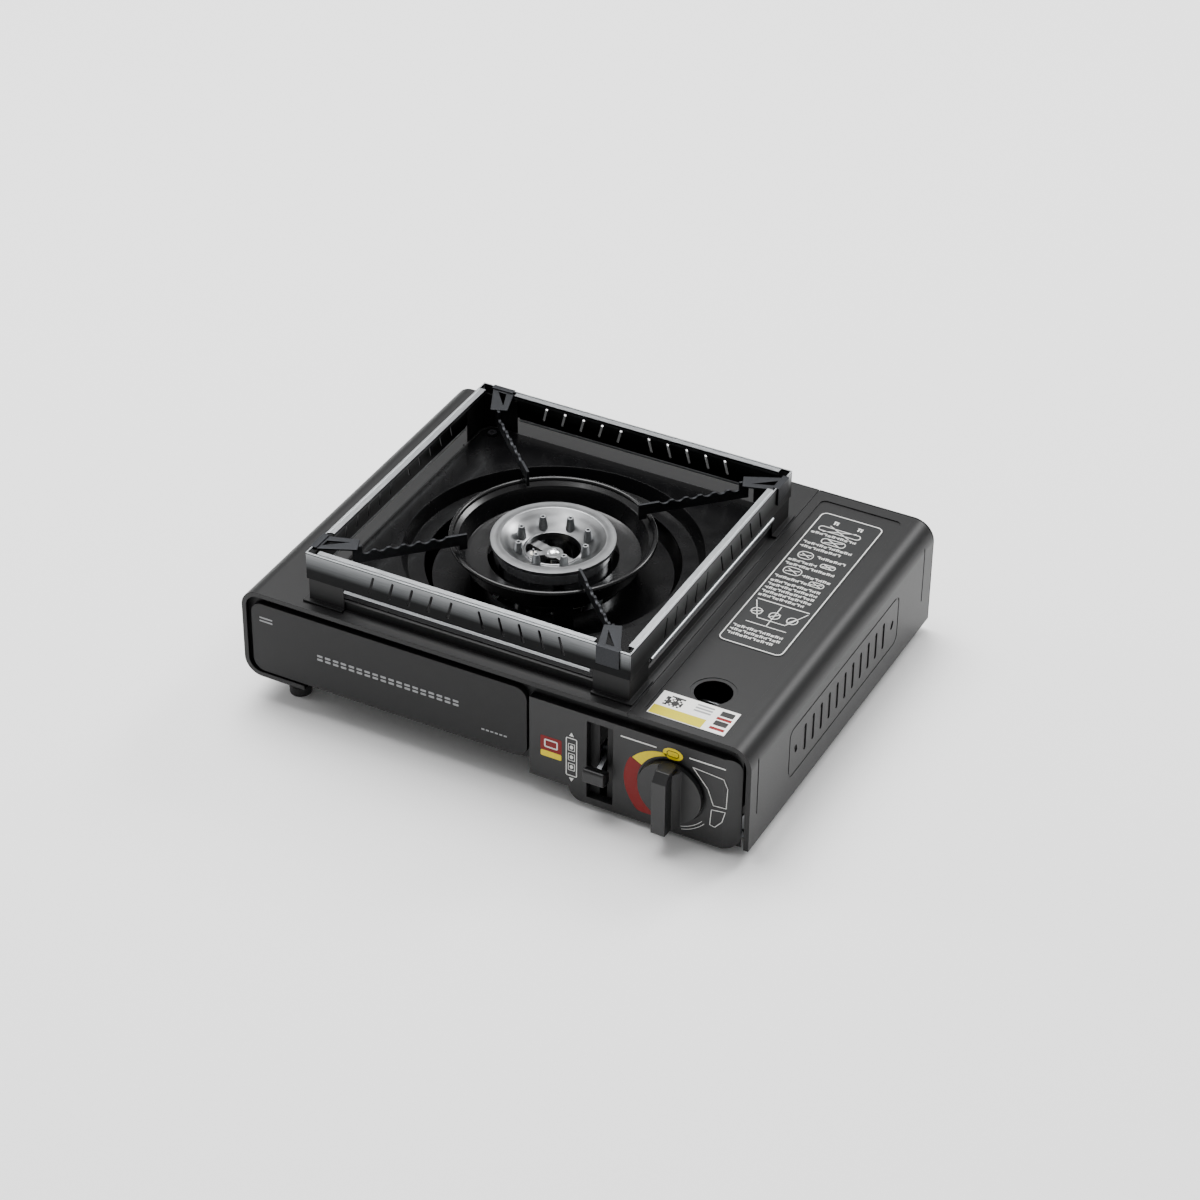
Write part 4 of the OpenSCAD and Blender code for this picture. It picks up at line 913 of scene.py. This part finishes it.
class STOVE_OT_pot_support(bpy.types.Operator):
    """Finishes the wind shield walls, corner brackets and pot arms"""

    bl_idname = "stove.pot_support"
    bl_label = "Pot support"

    def execute(self, context):
        edge = sizes().sheet_round
        for side, grain in (
            ("front", "along"), ("right", "across"), ("rear", "along"), ("left", "across")
        ):
            soften("support_wall_" + side, finish("shield_painted_light_steel_" + grain), edge)
        soften("corner_brackets", finish("satin_black"), edge)
        for place in ("front_right", "rear_right", "rear_left", "front_left"):
            soften("pot_arm_" + place, finish("arm_steel"), edge)
        return {"FINISHED"}


class STOVE_OT_stage(bpy.types.Operator):
    """Sets the floor, the soft lights and the camera"""

    bl_idname = "stove.stage"
    bl_label = "Stage"

    def execute(self, context):
        stage = context.scene.stove_stage
        bm = bmesh.new()
        bmesh.ops.create_grid(bm, x_segments=1, y_segments=1, size=6.0)
        mesh = bpy.data.meshes.new("floor")
        bm.to_mesh(mesh)
        bm.free()
        floor = bpy.data.objects.new("floor", mesh)
        context.scene.collection.objects.link(floor)
        made, tree, shader, place = start_material(
            "studio_paper", {"Metallic": 0.0, "Roughness": 0.6}
        )
        fibre = add(
            tree, "ShaderNodeTexNoise", {"Scale": per_mm(3)}, {"Vector": place}
        ).outputs["Fac"]
        surface(tree, shader, (fibre, shaded(stage.floor, 0.99), stage.floor))
        mesh.materials.append(made)

        world = bpy.data.worlds.new("studio")
        world.use_nodes = True
        back = world.node_tree.nodes["Background"]
        back.inputs["Color"].default_value = (1.0, 1.0, 1.0, 1.0)
        back.inputs["Strength"].default_value = 0.45
        context.scene.world = world

        for name, spot, size, power in (
            ("top_light", (-0.7, 0.6, 2.7), 2.2, 185.0),
            ("left_light", (-2.4, -0.4, 1.0), 0.8, 16.0),
            ("edge_light", (1.1, 2.3, 2.1), 0.9, 60.0),
        ):
            lamp = bpy.data.lights.new(name, "AREA")
            lamp.size = size
            lamp.energy = power
            thing = bpy.data.objects.new(name, lamp)
            thing.location = spot
            aim = Vector((0, 0, 0.05)) - Vector(spot)
            thing.rotation_euler = aim.to_track_quat("-Z", "Y").to_euler()
            context.scene.collection.objects.link(thing)

        a, e = stage.azimuth, stage.elevation
        back_by = Vector(
            (math.sin(a) * math.cos(e), -math.cos(a) * math.cos(e), math.sin(e))
        )
        lens = bpy.data.cameras.new("camera")
        lens.sensor_width = 36.0
        lens.lens = stage.lens
        lens.clip_end = 20.0
        camera = bpy.data.objects.new("camera", lens)
        camera.location = Vector(stage.target) + back_by * stage.distance
        turn = (-back_by).to_track_quat("-Z", "Y").to_matrix()
        camera.rotation_euler = (
            turn @ Matrix.Rotation(stage.roll, 3, "Z")
        ).to_euler()
        context.scene.collection.objects.link(camera)
        context.scene.camera = camera
        return {"FINISHED"}


OPERATORS = (
    STOVE_OT_casing,
    STOVE_OT_front_mark,
    STOVE_OT_control_panel,
    STOVE_OT_lid,
    STOVE_OT_burner,
    STOVE_OT_gas_parts,
    STOVE_OT_controls,
    STOVE_OT_pot_support,
    STOVE_OT_stage,
)


class STOVE_PT_sidebar(bpy.types.Panel):
    """Lists the stove's steps"""

    bl_idname = "STOVE_PT_sidebar"
    bl_label = "Portable gas stove"
    bl_space_type = "VIEW_3D"
    bl_region_type = "UI"
    bl_category = "Stove"

    def draw(self, context):
        for group in (
            context.scene.stove_sizes, context.scene.stove_colours, context.scene.stove_stage
        ):
            box = self.layout.box()
            for name in group.__annotations__:
                box.prop(group, name)
        for step in OPERATORS:
            self.layout.operator(step.bl_idname)


GROUPS = (
    ("stove_sizes", StoveSizes), ("stove_colours", StoveColours), ("stove_stage", StoveStage)
)


def register():
    for name, group in GROUPS:
        bpy.utils.register_class(group)
        setattr(bpy.types.Scene, name, PointerProperty(type=group))
    for step in OPERATORS:
        bpy.utils.register_class(step)
    bpy.utils.register_class(STOVE_PT_sidebar)


def unregister():
    bpy.utils.unregister_class(STOVE_PT_sidebar)
    for step in reversed(OPERATORS):
        bpy.utils.unregister_class(step)
    for name, group in reversed(GROUPS):
        delattr(bpy.types.Scene, name)
        bpy.utils.unregister_class(group)


def main():
    register()
    for step in OPERATORS:
        group, name = step.bl_idname.split(".")
        getattr(getattr(bpy.ops, group), name)()


if __name__ == "__main__":
    main()
